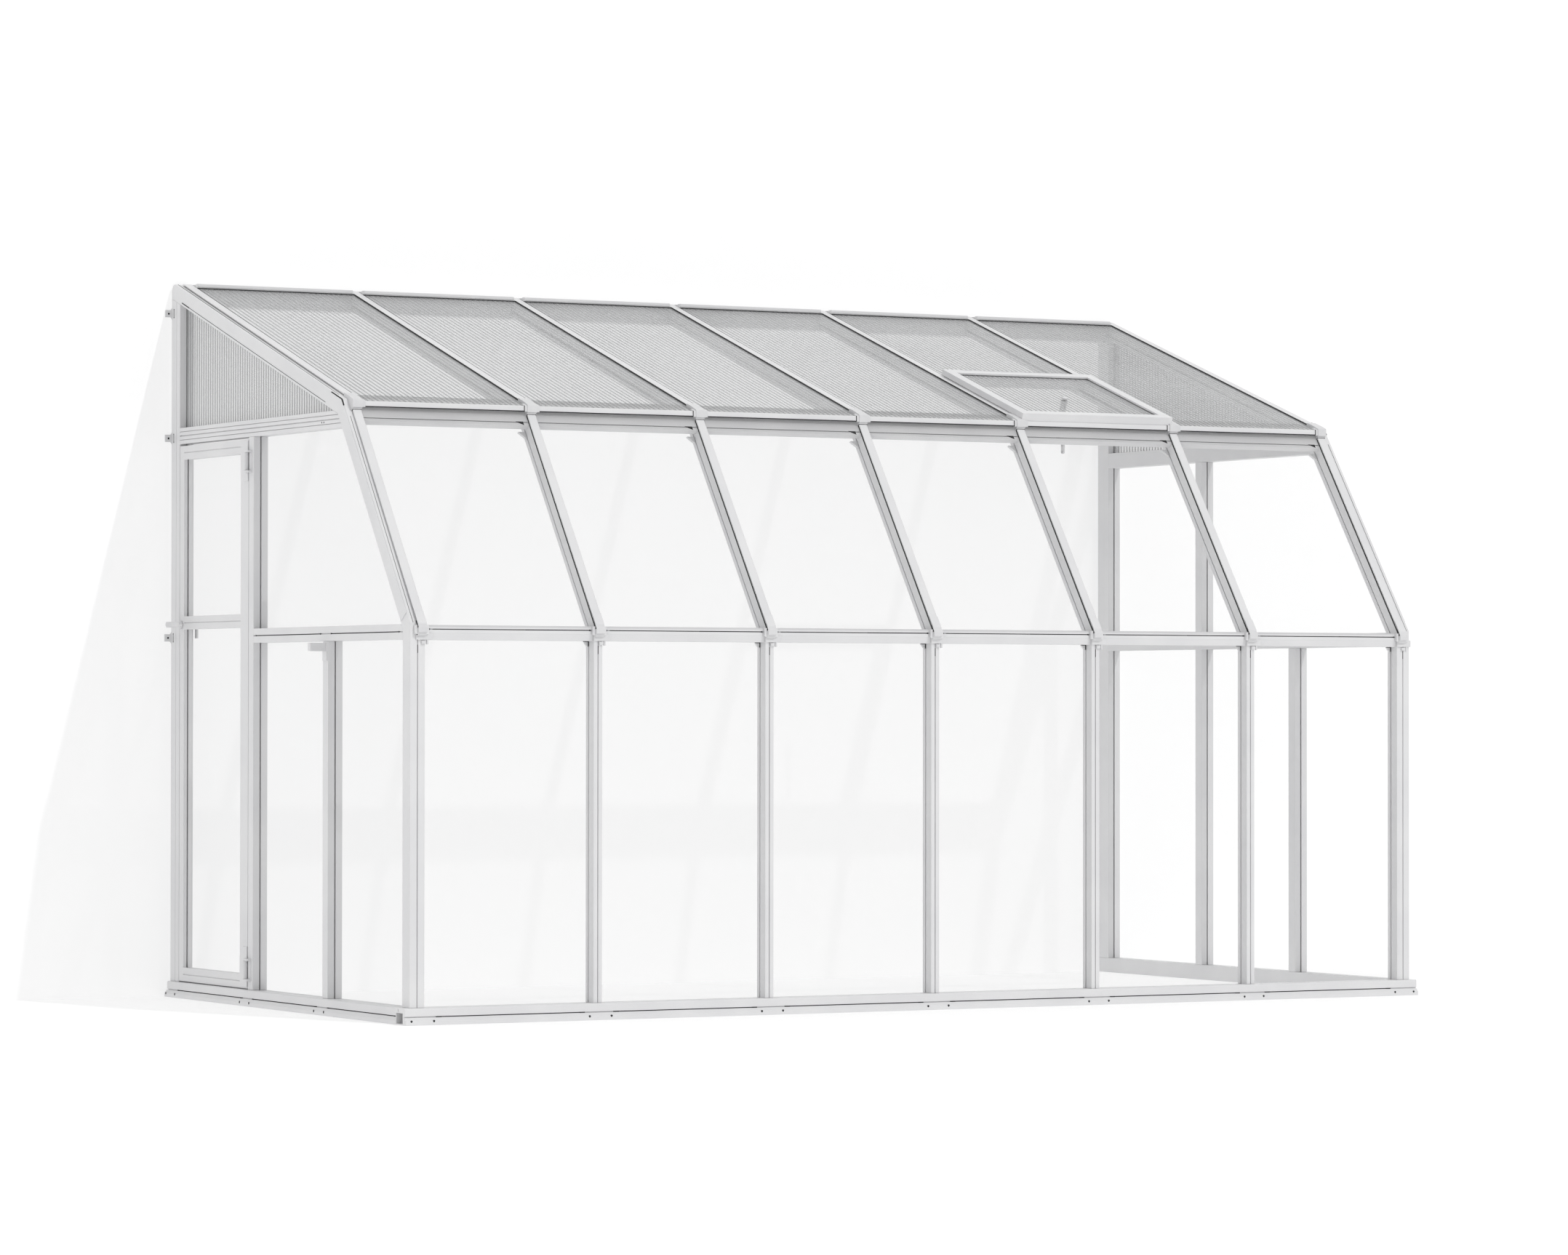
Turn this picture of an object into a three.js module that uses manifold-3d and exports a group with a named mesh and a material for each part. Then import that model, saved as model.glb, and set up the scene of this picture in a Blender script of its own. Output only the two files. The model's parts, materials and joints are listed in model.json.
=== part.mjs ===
import * as THREE from 'three';
import { mergeVertices } from 'three/addons/utils/BufferGeometryUtils.js';
import initManifold from 'manifold-3d';

const wasm = await initManifold();
wasm.setup();

// Driving sizes in millimetres. X runs along the house wall, +Y towards it, Z up.
const bayPitch = 625;
const bayCount = 6;
const depthToWall = 1934;
const lowerKneeHeight = 1261.5;
const upperKneeHeight = 1988;
const upperKneeSetback = 516;
const roofPitch = 18.4;

// Fits: the gap left between cut pieces, and how far a joined piece roots in its carrier.
const fitGap = 0.3;
const rootDepth = 1;
const glazing = 4;
const paneReach = 10;
const channelDepth = 12;

// The bent bars and the members of the two ends.
const postWidth = 31;
const barDepth = 55;
const cornerReach = 36;
const channelFromBack = 16;
const sideChannelOut = 10;
const wallThickness = 4;
const chamberNear = 10;
const chamberFar = 30;
const slitWidth = 3;
const slitDepth = 5;
const capThickness = 4;
const capChamfer = 1.5;
const stemWidth = 10;
const capOverhang = 14;
const studWidth = 41;
const wallPostDepth = 73;
const wallPostGroove = 41;

// The base rails, which flare out below the posts.
const baseHeight = 53.5;
const flareLow = 22;
const flareHigh = 12;
const flareLip = 13;
const baseSlitHeight = 24;
const baseChamfer = 3;
const fixingHoleRadius = 2.6;
const fixingHoleHeight = 12;
const fixingHoleSpacing = 78;
const spigotLength = 60;

// The rails between the bent bars.
const midRailDrop = 54.5;
const midRailLipDrop = 7.5;
const midRailSlitDrop = 22;
const midRailSeat = 10;
const neckFront = 14;
const neckBack = 32;
const neckDrop = 38.5;
const neckTall = 24;
const gussetLeg = 20;
const gussetThickness = 10;
const gussetSetback = 8;
const eaveLipDrop = 31;
const eaveLipReach = 14;
const eaveStem = 6;
const eaveLegDown = 83;
const eaveLegUp = 55;
const eaveThickness = 22;
const eaveSlitDown = 73.5;
const eaveNeckDepth = 12;
const eaveNeckHalf = 5.5;
const eaveChamberNear = 8;
const ridgeHeight = 73;
const ridgeLipReach = 20;
const ridgeLipThickness = 13;
const ridgeTopRise = 4;
const ridgeCapGap = 3;
const ridgeCapReach = 50;
const ridgeCornerRadius = 26;

// The knuckles that join the bar lengths at each bend.
const knuckleDrop = 40;
const knuckleRise = 36;
const knuckleThickness = 3;
const knuckleBury = 0.6;
const knuckleProud = 12;
const knuckleWing = 8.5;
const knuckleWingDrop = 28;

// The two ends: studs, rails, header and gable sheet.
const mullionFront = 623;
const studFront = 1226;
const sideRailHeight = 48;
const sideRailDrop = 28.5;
const headerHeight = 56;
const headerDrop = 91;
const headerLineRise = 14;
const lineDepth = 1.5;
const twinWallPitch = 38.6;
const webThickness = 1;
const skinThickness = 0.8;
const headerTabRise = 23;
const ridgeTabDrop = 24;
const bracketWidth = 26;
const bracketTall = 25;
const bracketFootTall = 43;
const bracketFootReach = 6;
const bracketThickness = 4;
const bracketHoleRadius = 3.2;

// The door, hung on the stud.
const doorGap = 3;
const doorThickness = 30;
const doorSillGap = 3.5;
const doorHeadGap = 7;
const hingeStileWidth = 65;
const latchStileWidth = 37;
const doorBottomRail = 47;
const doorTopRail = 47;
const doorMidRise = 28;
const doorMidRail = 45;
const hingeStandOff = 9;
const hingeSetback = 1.5;
const hingeRadius = 8;
const hingePinRadius = 4;
const hingeKnuckleLength = 60;
const hingeEarThickness = 7;
const hingeLeafThickness = 3;
const hingeLeafWidth = 30;
const hingeLeafInset = 5;
const hingeLeafReach = 60;
const hingeLeafShoulder = 36;
const hingeLeafTall = 135;
const hingeLeafSlant = 34;
const hingeReliefRadius = 20;
const hingeInsetLow = 63;
const hingeInsetHigh = 75;
const handleRise = 44;
const handleFromEdge = 15;
const spindleRadius = 6;
const roseRadius = 14;
const roseThickness = 4;
const roseGap = 0.8;
const leverLength = 102;
const leverStandOff = 42;
const leverThickness = 13;
const leverHubRadius = 10;
const leverTipRadius = 7;
const latchArmLength = 46;
const latchArmWidth = 18;
const latchArmThickness = 6;
const latchGap = 1.5;
const catchDrop = 19;
const catchReach = 58;
const catchTall = 27;
const catchWide = 22;
const catchPlateThickness = 4;
const catchPlateTall = 58;
const catchPlateWide = 34;

// The roof vent in the fifth bay, hung on a cross bar.
const ventBay = 4;
const ventSideGap = 6;
const ventUnderside = 12;
const ventTop = 32;
const ventOverhang = 33;
const ventLength = 566;
const ventBarWidth = 36;
const ventPanelRise = 23;
const ventDripDrop = 10;
const ventDripThickness = 5;
const ventHingeGap = 8;
const ventHingeRise = 22;
const ventHingeRadius = 5.5;
const ventPinRadius = 2;
const ventHingeSpacing = 200;
const ventKnuckleLength = 40;
const ventEarThickness = 6;
const crossBarGap = 5;
const crossBarWidth = 34;
const crossBarDepth = 30;
const upstandInset = 3;
const upstandThickness = 6;
const upstandRise = 28;
const knobAlong = 199;
const knobRadius = 11;
const knobRise = 7;
const boltRadius = 3.5;
const clevisDrop = 18;
const clevisHalfLength = 9;
const clevisEarThickness = 4;
const stayPivotDrop = 10;
const stayPinRadius = 2.5;
const stayThickness = 8;
const stayHeight = 14;
const stayLength = 150;
const stayHoleRadius = 3.5;
const stayHoleCount = 4;
const stayHolePitch = 22;
const pegPlateThickness = 5;
const pegPlateInset = 28;
const pegAlong = 75;
const pegPlateDrop = 52;
const pegOffset = 10;
const pegRadius = 3;
const pegFromEdge = 10;

const roundSegments = 24;
const smallSegments = 12;

const halfLength = bayPitch * bayCount / 2;
const halfPost = postWidth / 2;
const channelWidth = glazing + 2 * fitGap;
const channelNear = barDepth - channelFromBack - channelWidth;
const channelFar = barDepth - channelFromBack;
const capTopRise = channelWidth + capThickness;
const sideChannelIn = sideChannelOut - channelWidth / 2;
const sideChannelEnd = sideChannelOut + channelWidth / 2;
const wallPostFront = depthToWall - wallPostDepth;
const midRailBottom = lowerKneeHeight - midRailDrop;
const midRailLip = lowerKneeHeight - midRailLipDrop;
const midRailSlit = lowerKneeHeight - midRailSlitDrop;
const neckBottom = lowerKneeHeight - neckDrop;
const neckTop = neckBottom + neckTall;
const sideRailCentre = lowerKneeHeight - sideRailDrop;
const sideRailBottom = sideRailCentre - sideRailHeight / 2;
const sideRailTop = sideRailCentre + sideRailHeight / 2;
const headerBottom = upperKneeHeight - headerDrop;
const headerTop = headerBottom + headerHeight;
const doorBottom = baseHeight + doorSillGap;
const doorTop = headerBottom - doorHeadGap;
const doorMidBottom = sideRailCentre + doorMidRise;
const doorMidTop = doorMidBottom + doorMidRail;
const hingeCentres = [doorBottom + hingeInsetLow, doorTop - hingeInsetHigh];
const handleHeight = sideRailCentre + handleRise;
const catchHeight = sideRailBottom - catchDrop;
const ventLowEdge = -ventOverhang;
const ventHighEdge = ventLength - ventOverhang;
const ventHingeAlong = ventHighEdge + ventHingeGap;
const crossBarStart = ventHingeAlong + crossBarGap;
const upstandStart = crossBarStart + upstandInset;
const upstandEnd = upstandStart + upstandThickness;
const bayLine = (index) => index * bayPitch - halfLength;
const bayEnds = (bay) => [bayLine(bay), bayLine(bay) + bayPitch];
const bayCentre = (bay) => bayLine(bay) + bayPitch / 2;
const across = (side, outward) => side * (halfLength + outward);

// The bent line in the YZ plane: x of each pair is Y in the part, y of each pair is Z.
const lowerKnee = new THREE.Vector2(0, lowerKneeHeight);
const upperKnee = new THREE.Vector2(upperKneeSetback, upperKneeHeight);
const slopeAlong = upperKnee.clone().sub(lowerKnee).normalize();
const slopeLength = upperKnee.distanceTo(lowerKnee);
const roofTilt = THREE.MathUtils.degToRad(roofPitch);
const roofAlong = new THREE.Vector2(Math.cos(roofTilt), Math.sin(roofTilt));
const inwardOf = (along) => new THREE.Vector2(along.y, -along.x);
const postIn = new THREE.Vector2(1, 0);
const slopeIn = inwardOf(slopeAlong);
const roofIn = inwardOf(roofAlong);
const mitreOf = (first, next) => first.clone().add(next).divideScalar(1 + first.dot(next));
const lowerMitre = mitreOf(postIn, slopeIn);
const upperMitre = mitreOf(slopeIn, roofIn);
const plumb = new THREE.Vector2(0, -1 / Math.cos(roofTilt));

function pointAt(origin, along, distance, inward, depth) {
  const point = origin.clone();
  point.addScaledVector(along, distance);
  return point.addScaledVector(inward, depth);
}
const slopePoint = (distance, depth) => pointAt(lowerKnee, slopeAlong, distance, slopeIn, depth);
const belowKnee = (distance, depth) => slopePoint(slopeLength - distance, depth);
const roofPoint = (distance, depth) => pointAt(upperKnee, roofAlong, distance, roofIn, depth);
const lowerKneeAt = (depth) => lowerKnee.clone().addScaledVector(lowerMitre, depth);
const upperKneeAt = (depth) => upperKnee.clone().addScaledVector(upperMitre, depth);
const roofDistanceAt = (y) => (y - upperKneeSetback) / roofAlong.x;
const roofLineAt = (y) => roofPoint(roofDistanceAt(y), 0);
const roofHeightAt = (y, depth) => roofLineAt(y).y + plumb.y * depth;
const pairs = (points) => points.map((point) => [point.x, point.y]);
const rect = (a0, a1, b0, b1) => [[a0, b0], [a1, b0], [a1, b1], [a0, b1]];

const lift = (pair) => new THREE.Vector3(0, pair.x, pair.y);
const axisX = new THREE.Vector3(1, 0, 0);
const axisY = new THREE.Vector3(0, 1, 0);
const axisZ = new THREE.Vector3(0, 0, 1);
function frameOf(first, second, third, origin = new THREE.Vector3()) {
  return new THREE.Matrix4().makeBasis(first, second, third).setPosition(origin);
}

// Outlines are (y, z) along X, (z, x) along Y and (x, y) along Z. The sheet frames take
// (x, depth) along their slope, and the roof face takes (x, distance up the roof).
const alongX = frameOf(axisY, axisZ, axisX);
const alongY = frameOf(axisZ, axisX, axisY);
const alongZ = frameOf(axisX, axisY, axisZ);
const slopeSheet = frameOf(axisX, lift(slopeIn), lift(slopeAlong), lift(lowerKnee));
const roofSheet = frameOf(axisX, lift(roofIn), lift(roofAlong), lift(upperKnee));
const roofOut = lift(roofIn).negate();
const roofFace = frameOf(axisX, lift(roofAlong), roofOut, lift(upperKnee));
const roofSection = frameOf(lift(roofAlong), roofOut, axisX, lift(upperKnee));

function toSolid(source) {
  const bare = source.clone();
  bare.deleteAttribute('normal');
  bare.deleteAttribute('uv');
  const welded = mergeVertices(bare);
  return new wasm.Manifold(new wasm.Mesh({
    numProp: 3,
    vertProperties: new Float32Array(welded.attributes.position.array),
    triVerts: new Uint32Array(welded.index.array),
  }));
}

// Outlines run counter-clockwise and the holes in them clockwise.
function turned(list, wanted) {
  const points = list.map(([a, b]) => new THREE.Vector2(a, b));
  return Math.sign(THREE.ShapeUtils.area(points)) === wanted ? points : points.reverse();
}

function extrude(outline, frame, from, to, holes = []) {
  const shape = new THREE.Shape(turned(outline, 1));
  shape.holes = holes.map((hole) => new THREE.Path(turned(hole, -1)));
  const geometry = new THREE.ExtrudeGeometry(shape, { depth: to - from, bevelEnabled: false });
  geometry.translate(0, 0, from);
  geometry.applyMatrix4(frame);
  return toSolid(geometry);
}

const block = (x, y, z) => extrude(rect(x[0], x[1], y[0], y[1]), alongZ, z[0], z[1]);
const joined = (solids) => solids.reduce((whole, solid) => whole.add(solid));
const cutBy = (solid, cutters) => cutters.reduce((rest, cutter) => rest.subtract(cutter), solid);

function circle(radius, centreA, centreB, segments = roundSegments) {
  return Array.from({ length: segments }, (_, step) => {
    const turn = step / segments * 2 * Math.PI;
    return [centreA + radius * Math.cos(turn), centreB + radius * Math.sin(turn)];
  });
}

// A bar of one section that follows the bent line, with mitred corners. Each station has
// a point of the outer face and the direction in which the section's depth runs there.
function bentBar(centreX, outline, stations, holes = []) {
  const contours = [turned(outline, 1), ...holes.map((hole) => turned(hole, -1))];
  const section = contours.flat();
  const positions = [];
  stations.forEach(({ at, into }) => section.forEach((point) => {
    positions.push(centreX + point.x, at.x + into.x * point.y, at.y + into.y * point.y);
  }));
  const index = [];
  const ring = section.length;
  let start = 0;
  contours.forEach((contour) => {
    contour.forEach((_, step) => {
      const here = start + step;
      const next = start + (step + 1) % contour.length;
      for (let layer = 0; layer < stations.length - 1; layer += 1) {
        const low = layer * ring;
        const high = low + ring;
        index.push(low + here, low + next, high + next);
        index.push(low + here, high + next, high + here);
      }
    });
    start += contour.length;
  });
  const last = (stations.length - 1) * ring;
  THREE.ShapeUtils.triangulateShape(contours[0], contours.slice(1)).forEach((corners) => {
    const area = THREE.ShapeUtils.area(corners.map((corner) => section[corner]));
    const [a, b, c] = area > 0 ? corners : [...corners].reverse();
    index.push(c, b, a);
    index.push(last + a, last + b, last + c);
  });
  const geometry = new THREE.BufferGeometry();
  geometry.setAttribute('position', new THREE.Float32BufferAttribute(positions, 3));
  geometry.setIndex(index);
  return toSolid(geometry);
}

// Everything inside the bent line at one depth, down to the ground and back to the wall.
function insideAt(depth) {
  const outline = [
    [depth, 0],
    ...pairs([lowerKneeAt(depth), upperKneeAt(depth)]),
    [depthToWall, roofHeightAt(depthToWall, depth)],
    [depthToWall, 0],
  ];
  const reach = halfLength + cornerReach;
  return extrude(outline, alongX, -reach, reach);
}

// A rib is post, slanted bar and rafter with their glazing cap and bend knuckles.
function ribSection(side) {
  const outer = side === 0 ? halfPost : cornerReach;
  const inner = -halfPost;
  const outline = [[inner, 0], [outer, 0]];
  if (side === 0) {
    outline.push([outer, channelNear], [outer - channelDepth, channelNear]);
    outline.push([outer - channelDepth, channelFar], [outer, channelFar], [outer, barDepth]);
  } else {
    outline.push([outer, barDepth], [sideChannelEnd, barDepth]);
    outline.push([sideChannelEnd, barDepth - channelDepth]);
    outline.push([sideChannelIn, barDepth - channelDepth], [sideChannelIn, barDepth]);
  }
  outline.push([inner, barDepth], [inner, channelFar], [inner + channelDepth, channelFar]);
  outline.push([inner + channelDepth, channelNear], [inner, channelNear]);
  const facing = side === 0 ? 1 : side;
  return outline.map(([outward, depth]) => [facing * outward, depth]);
}

function ribChamber(side, margin) {
  const outer = (side === 0 ? halfPost : cornerReach) - wallThickness - margin;
  const inner = margin + wallThickness - halfPost;
  const facing = side === 0 ? 1 : side;
  return rect(facing * inner, facing * outer, chamberNear + margin, chamberFar - margin);
}

const sideOfRib = (index) => (index === 0 ? -1 : Number(index === bayCount));
const ribEnd = wallPostFront - fitGap;
const capEnd = wallPostFront - ridgeLipReach + ridgeCapReach;
const footHeight = baseHeight + fitGap;
const ridgeLipFront = wallPostFront - ridgeLipReach;
const ridgeTop = roofHeightAt(ridgeLipFront, -channelWidth) + ridgeLipThickness;
const ridgeBottom = ridgeTop - ridgeHeight;

// The necks of the mid rail and the eave rail pass through every rib.
function midNeck(margin) {
  const reach = halfLength + margin;
  return block(
    [-reach, reach],
    [neckFront - margin, neckBack + margin],
    [neckBottom - margin, neckTop + margin],
  );
}
function eaveNeck(margin) {
  const reach = halfLength + margin;
  const half = eaveNeckHalf + margin;
  const centre = upperKneeAt(eaveNeckDepth);
  return block(
    [-reach, reach],
    [centre.x - half, centre.x + half],
    [centre.y - half, centre.y + half],
  );
}

function rib(index) {
  const side = sideOfRib(index);
  const centreX = bayLine(index);
  const foot = { at: new THREE.Vector2(0, footHeight), into: postIn };
  const stations = [foot, { at: lowerKnee, into: lowerMitre }, { at: upperKnee, into: upperMitre },
    { at: roofLineAt(side === 0 ? ribEnd : depthToWall), into: plumb }];
  const body = bentBar(centreX, ribSection(side), stations, [ribChamber(side, 0)]);
  const capEdge = halfPost - capChamfer;
  const cap = [
    [-stemWidth / 2, rootDepth], [stemWidth / 2, rootDepth], [stemWidth / 2, -channelWidth],
    [halfPost, -channelWidth], [halfPost, capChamfer - capTopRise], [capEdge, -capTopRise],
    [-capEdge, -capTopRise], [-halfPost, capChamfer - capTopRise], [-halfPost, -channelWidth],
    [-stemWidth / 2, -channelWidth],
  ];
  const capStations = [
    { at: slopePoint(-capOverhang, 0), into: slopeIn },
    { at: upperKnee, into: upperMitre },
    { at: roofLineAt(side === 0 ? capEnd : depthToWall), into: plumb },
  ];
  const knuckleTop = capTopRise + knuckleThickness;
  const strap = rect(-halfPost, halfPost, -knuckleTop, knuckleBury - capTopRise);
  const lowerStrap = bentBar(centreX, strap, [
    { at: slopePoint(-capOverhang, 0), into: slopeIn },
    { at: slopePoint(knuckleRise, 0), into: slopeIn },
  ]);
  const upperStrap = bentBar(centreX, strap, [
    { at: belowKnee(knuckleRise, 0), into: slopeIn },
    { at: upperKnee, into: upperMitre },
    { at: roofPoint(knuckleRise, 0), into: roofIn },
  ]);
  const paneFoot = slopePoint(-paneReach, -fitGap).y;
  const postStrap = block(
    [centreX - halfPost, centreX + halfPost],
    [-knuckleProud, rootDepth],
    [lowerKneeHeight - knuckleDrop, paneFoot],
  );
  const wing = block(
    [centreX - halfPost - knuckleWing, centreX + halfPost + knuckleWing],
    [-knuckleProud, -fitGap],
    [paneFoot - knuckleWingDrop, paneFoot],
  );
  const whole = joined([body, bentBar(centreX, cap, capStations), lowerStrap, upperStrap,
    postStrap, wing]);
  const slitX = centreX + side * sideChannelOut;
  const frontSlit = block(
    [slitX - slitWidth / 2, slitX + slitWidth / 2],
    [-slitWidth, slitDepth],
    [footHeight - slitWidth, lowerKneeHeight - knuckleDrop],
  );
  return cutBy(whole, [frontSlit, midNeck(fitGap), eaveNeck(fitGap)]).intersect(underTop());
}

// The ridge's level top and rounded back corner, which also end the two outer ribs.
function underTop() {
  const top = ridgeTop + ridgeTopRise;
  const arc = circle(ridgeCornerRadius, depthToWall - ridgeCornerRadius, top - ridgeCornerRadius);
  const corner = arc.filter(([y, z]) => y >= depthToWall - ridgeCornerRadius
    && z >= top - ridgeCornerRadius);
  const reach = halfLength + cornerReach;
  const outline = [[-capOverhang, 0], [depthToWall, 0], ...corner, [-capOverhang, top]];
  return extrude(outline, alongX, -reach, reach);
}

// The base section, as outward reach from the posts' face and height above the ground.
function baseSection(memberDepth, channelStart) {
  const slitTop = baseSlitHeight + slitWidth;
  const channelFloor = baseHeight - channelDepth;
  const channelStop = channelStart - channelWidth;
  return [
    [-memberDepth, 0], [flareLow, 0], [flareLow, flareLip], [flareHigh, baseSlitHeight],
    [flareHigh - slitDepth, baseSlitHeight], [flareHigh - slitDepth, slitTop],
    [flareHigh, slitTop], [flareHigh, baseHeight - baseChamfer],
    [flareHigh - baseChamfer, baseHeight], [channelStart, baseHeight],
    [channelStart, channelFloor], [channelStop, channelFloor], [channelStop, baseHeight],
    [-memberDepth, baseHeight],
  ];
}
function baseChamber(memberDepth) {
  const roofOfChamber = baseHeight - channelDepth - wallThickness;
  return rect(wallThickness - memberDepth, -wallThickness, wallThickness, roofOfChamber);
}

function baseFront() {
  const toFront = ([outward, height]) => [-outward, height];
  const reach = halfLength + cornerReach + flareLow;
  const rail = extrude(
    baseSection(barDepth, -channelNear).map(toFront), alongX, -reach, reach,
    [baseChamber(barDepth).map(toFront)],
  );
  const spigots = [];
  const holes = [];
  for (let index = 0; index <= bayCount; index += 1) {
    const centreX = bayLine(index);
    const plan = ribChamber(sideOfRib(index), fitGap).map(([u, depth]) => [centreX + u, depth]);
    spigots.push(extrude(plan, alongZ, baseHeight - rootDepth, baseHeight + spigotLength));
    [-1, 1].forEach((turn) => {
      const holeX = centreX + turn * fixingHoleSpacing / 2;
      const hole = circle(fixingHoleRadius, fixingHoleHeight, holeX, smallSegments);
      holes.push(extrude(hole, alongY, -flareLow - rootDepth, wallThickness + rootDepth));
    });
  }
  const pockets = [-1, 1].map((side) => block(
    [across(side, sideChannelIn), across(side, sideChannelEnd)].sort((a, b) => a - b),
    [barDepth - channelDepth, barDepth + rootDepth],
    [baseHeight - channelDepth, baseHeight + rootDepth],
  ));
  return cutBy(joined([rail, ...spigots]), [...holes, ...pockets]);
}

function baseSide(side) {
  const toSide = ([outward, height]) => [height, across(side, cornerReach + outward)];
  const memberDepth = cornerReach + halfPost;
  const channelStart = sideChannelEnd - cornerReach;
  const rail = extrude(
    baseSection(memberDepth, channelStart).map(toSide), alongY, barDepth + fitGap, depthToWall,
    [baseChamber(memberDepth).map(toSide)],
  );
  const outerX = [across(side, cornerReach - wallThickness - rootDepth),
    across(side, cornerReach + flareLow + rootDepth)].sort((a, b) => a - b);
  const centres = [mullionFront, studFront, wallPostFront].map((y) => y + studWidth / 2);
  const holes = centres.flatMap((centreY) => [-1, 1].map((turn) => {
    const holeY = centreY + turn * fixingHoleSpacing / 2;
    const hole = circle(fixingHoleRadius, holeY, fixingHoleHeight, smallSegments);
    return extrude(hole, alongX, outerX[0], outerX[1]);
  }));
  return cutBy(rail, holes);
}

// Lengths of rail between neighbouring ribs, tied by one neck that runs through them all.
function betweenRibs(outline, holes, neck) {
  const lengths = [neck];
  for (let bay = 0; bay < bayCount; bay += 1) {
    const [left, right] = bayEnds(bay);
    const inset = halfPost + fitGap;
    lengths.push(extrude(outline, alongX, left + inset, right - inset, holes));
  }
  return joined(lengths);
}

function gussets(top, front) {
  const wedges = [];
  for (let bay = 0; bay < bayCount; bay += 1) {
    [1, -1].forEach((turn) => {
      const cornerX = bayCentre(bay) - turn * (bayPitch / 2 - halfPost - fitGap);
      const wedge = [[top + rootDepth, cornerX], [top - gussetLeg, cornerX],
        [top, cornerX + turn * gussetLeg], [top + rootDepth, cornerX + turn * gussetLeg]];
      wedges.push(extrude(wedge, alongY, front, front + gussetThickness));
    });
  }
  return wedges;
}

function frontMidRail() {
  const slitTop = midRailSlit + slitWidth;
  const seat = slopePoint(midRailSeat, 0);
  const outline = [
    [0, midRailBottom], [0, midRailSlit], [slitDepth, midRailSlit], [slitDepth, slitTop],
    [0, slitTop], [0, midRailLip], ...pairs([slopePoint(0, 0), seat]), [seat.x, midRailLip],
    [barDepth - wallThickness, midRailLip], [barDepth - wallThickness, midRailBottom],
    [channelFar, midRailBottom], [channelFar, midRailBottom + channelDepth],
    [channelNear, midRailBottom + channelDepth], [channelNear, midRailBottom],
  ];
  const rail = betweenRibs(outline, [], midNeck(0));
  return joined([rail, ...gussets(midRailBottom, gussetSetback)]);
}

function eaveRail() {
  const slitEnd = eaveSlitDown + slitWidth;
  const outline = pairs([
    roofPoint(eaveLipReach, -capTopRise), upperKneeAt(-capTopRise),
    belowKnee(eaveLipDrop, -capTopRise), belowKnee(eaveLipDrop, -channelWidth),
    belowKnee(eaveStem, -channelWidth), belowKnee(eaveStem, 0), belowKnee(eaveSlitDown, 0),
    belowKnee(eaveSlitDown, slitDepth), belowKnee(slitEnd, slitDepth), belowKnee(slitEnd, 0),
    belowKnee(eaveLegDown, 0), belowKnee(eaveLegDown, eaveThickness),
    upperKneeAt(eaveThickness), roofPoint(eaveLegUp, eaveThickness), roofPoint(eaveLegUp, 0),
    roofPoint(eaveStem, 0), roofPoint(eaveStem, -channelWidth),
    roofPoint(eaveLipReach, -channelWidth),
  ]);
  const far = eaveThickness - wallThickness;
  const chamber = pairs([
    belowKnee(eaveLegDown - wallThickness, eaveChamberNear),
    belowKnee(eaveLegDown - wallThickness, far), upperKneeAt(far),
    roofPoint(eaveLegUp - wallThickness, far),
    roofPoint(eaveLegUp - wallThickness, eaveChamberNear), upperKneeAt(eaveChamberNear),
  ]);
  const rail = betweenRibs(outline, [chamber], eaveNeck(0));
  const legEnd = belowKnee(eaveLegDown, eaveThickness);
  const wedges = gussets(legEnd.y + rootDepth, legEnd.x - gussetThickness);
  const plateX = bayCentre(ventBay) + pegOffset;
  const plate = extrude(
    rect(pegPlateInset, pegAlong + pegFromEdge, rootDepth - eaveThickness, -pegPlateDrop),
    roofSection, plateX, plateX + pegPlateThickness,
  );
  const peg = extrude(
    circle(pegRadius, pegAlong, pegFromEdge - pegPlateDrop, smallSegments), roofSection,
    bayCentre(ventBay) + stayThickness / 2 + 2 * fitGap, plateX + rootDepth,
  );
  return joined([rail, ...wedges, plate, peg]);
}

function ridgeRail() {
  const under = (y) => roofHeightAt(y, -channelWidth);
  const outline = [
    [wallPostFront, ridgeBottom], [depthToWall, ridgeBottom],
    [depthToWall, ridgeTop + ridgeTopRise], [ridgeLipFront, ridgeTop],
    [ridgeLipFront, under(ridgeLipFront)], [wallPostFront, under(wallPostFront)],
  ];
  const chamber = rect(
    wallPostFront + wallThickness, depthToWall - wallThickness,
    ridgeBottom + wallThickness, ridgeTop - ridgeLipThickness - wallThickness,
  );
  const reach = halfLength - halfPost - fitGap;
  const rail = extrude(outline, alongX, -reach, reach, [chamber]);
  const stop = roofDistanceAt(wallPostFront);
  const slotFloor = (y) => [y, roofHeightAt(y, rootDepth + fitGap)];
  const slot = [slotFloor(0), slotFloor(2 * depthToWall), [0, 2 * ridgeTop]];
  const spigots = [];
  const slots = [];
  for (let index = 1; index < bayCount; index += 1) {
    const centreX = bayLine(index);
    const half = halfPost + ridgeCapGap;
    slots.push(extrude(slot, alongX, centreX - half, centreX + half));
    const plan = ribChamber(0, fitGap).map(([u, depth]) => [centreX + u, depth]);
    spigots.push(extrude(plan, roofSheet, stop - spigotLength, stop + wallPostDepth / 2));
  }
  return joined([cutBy(rail, slots), ...spigots]);
}

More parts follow.
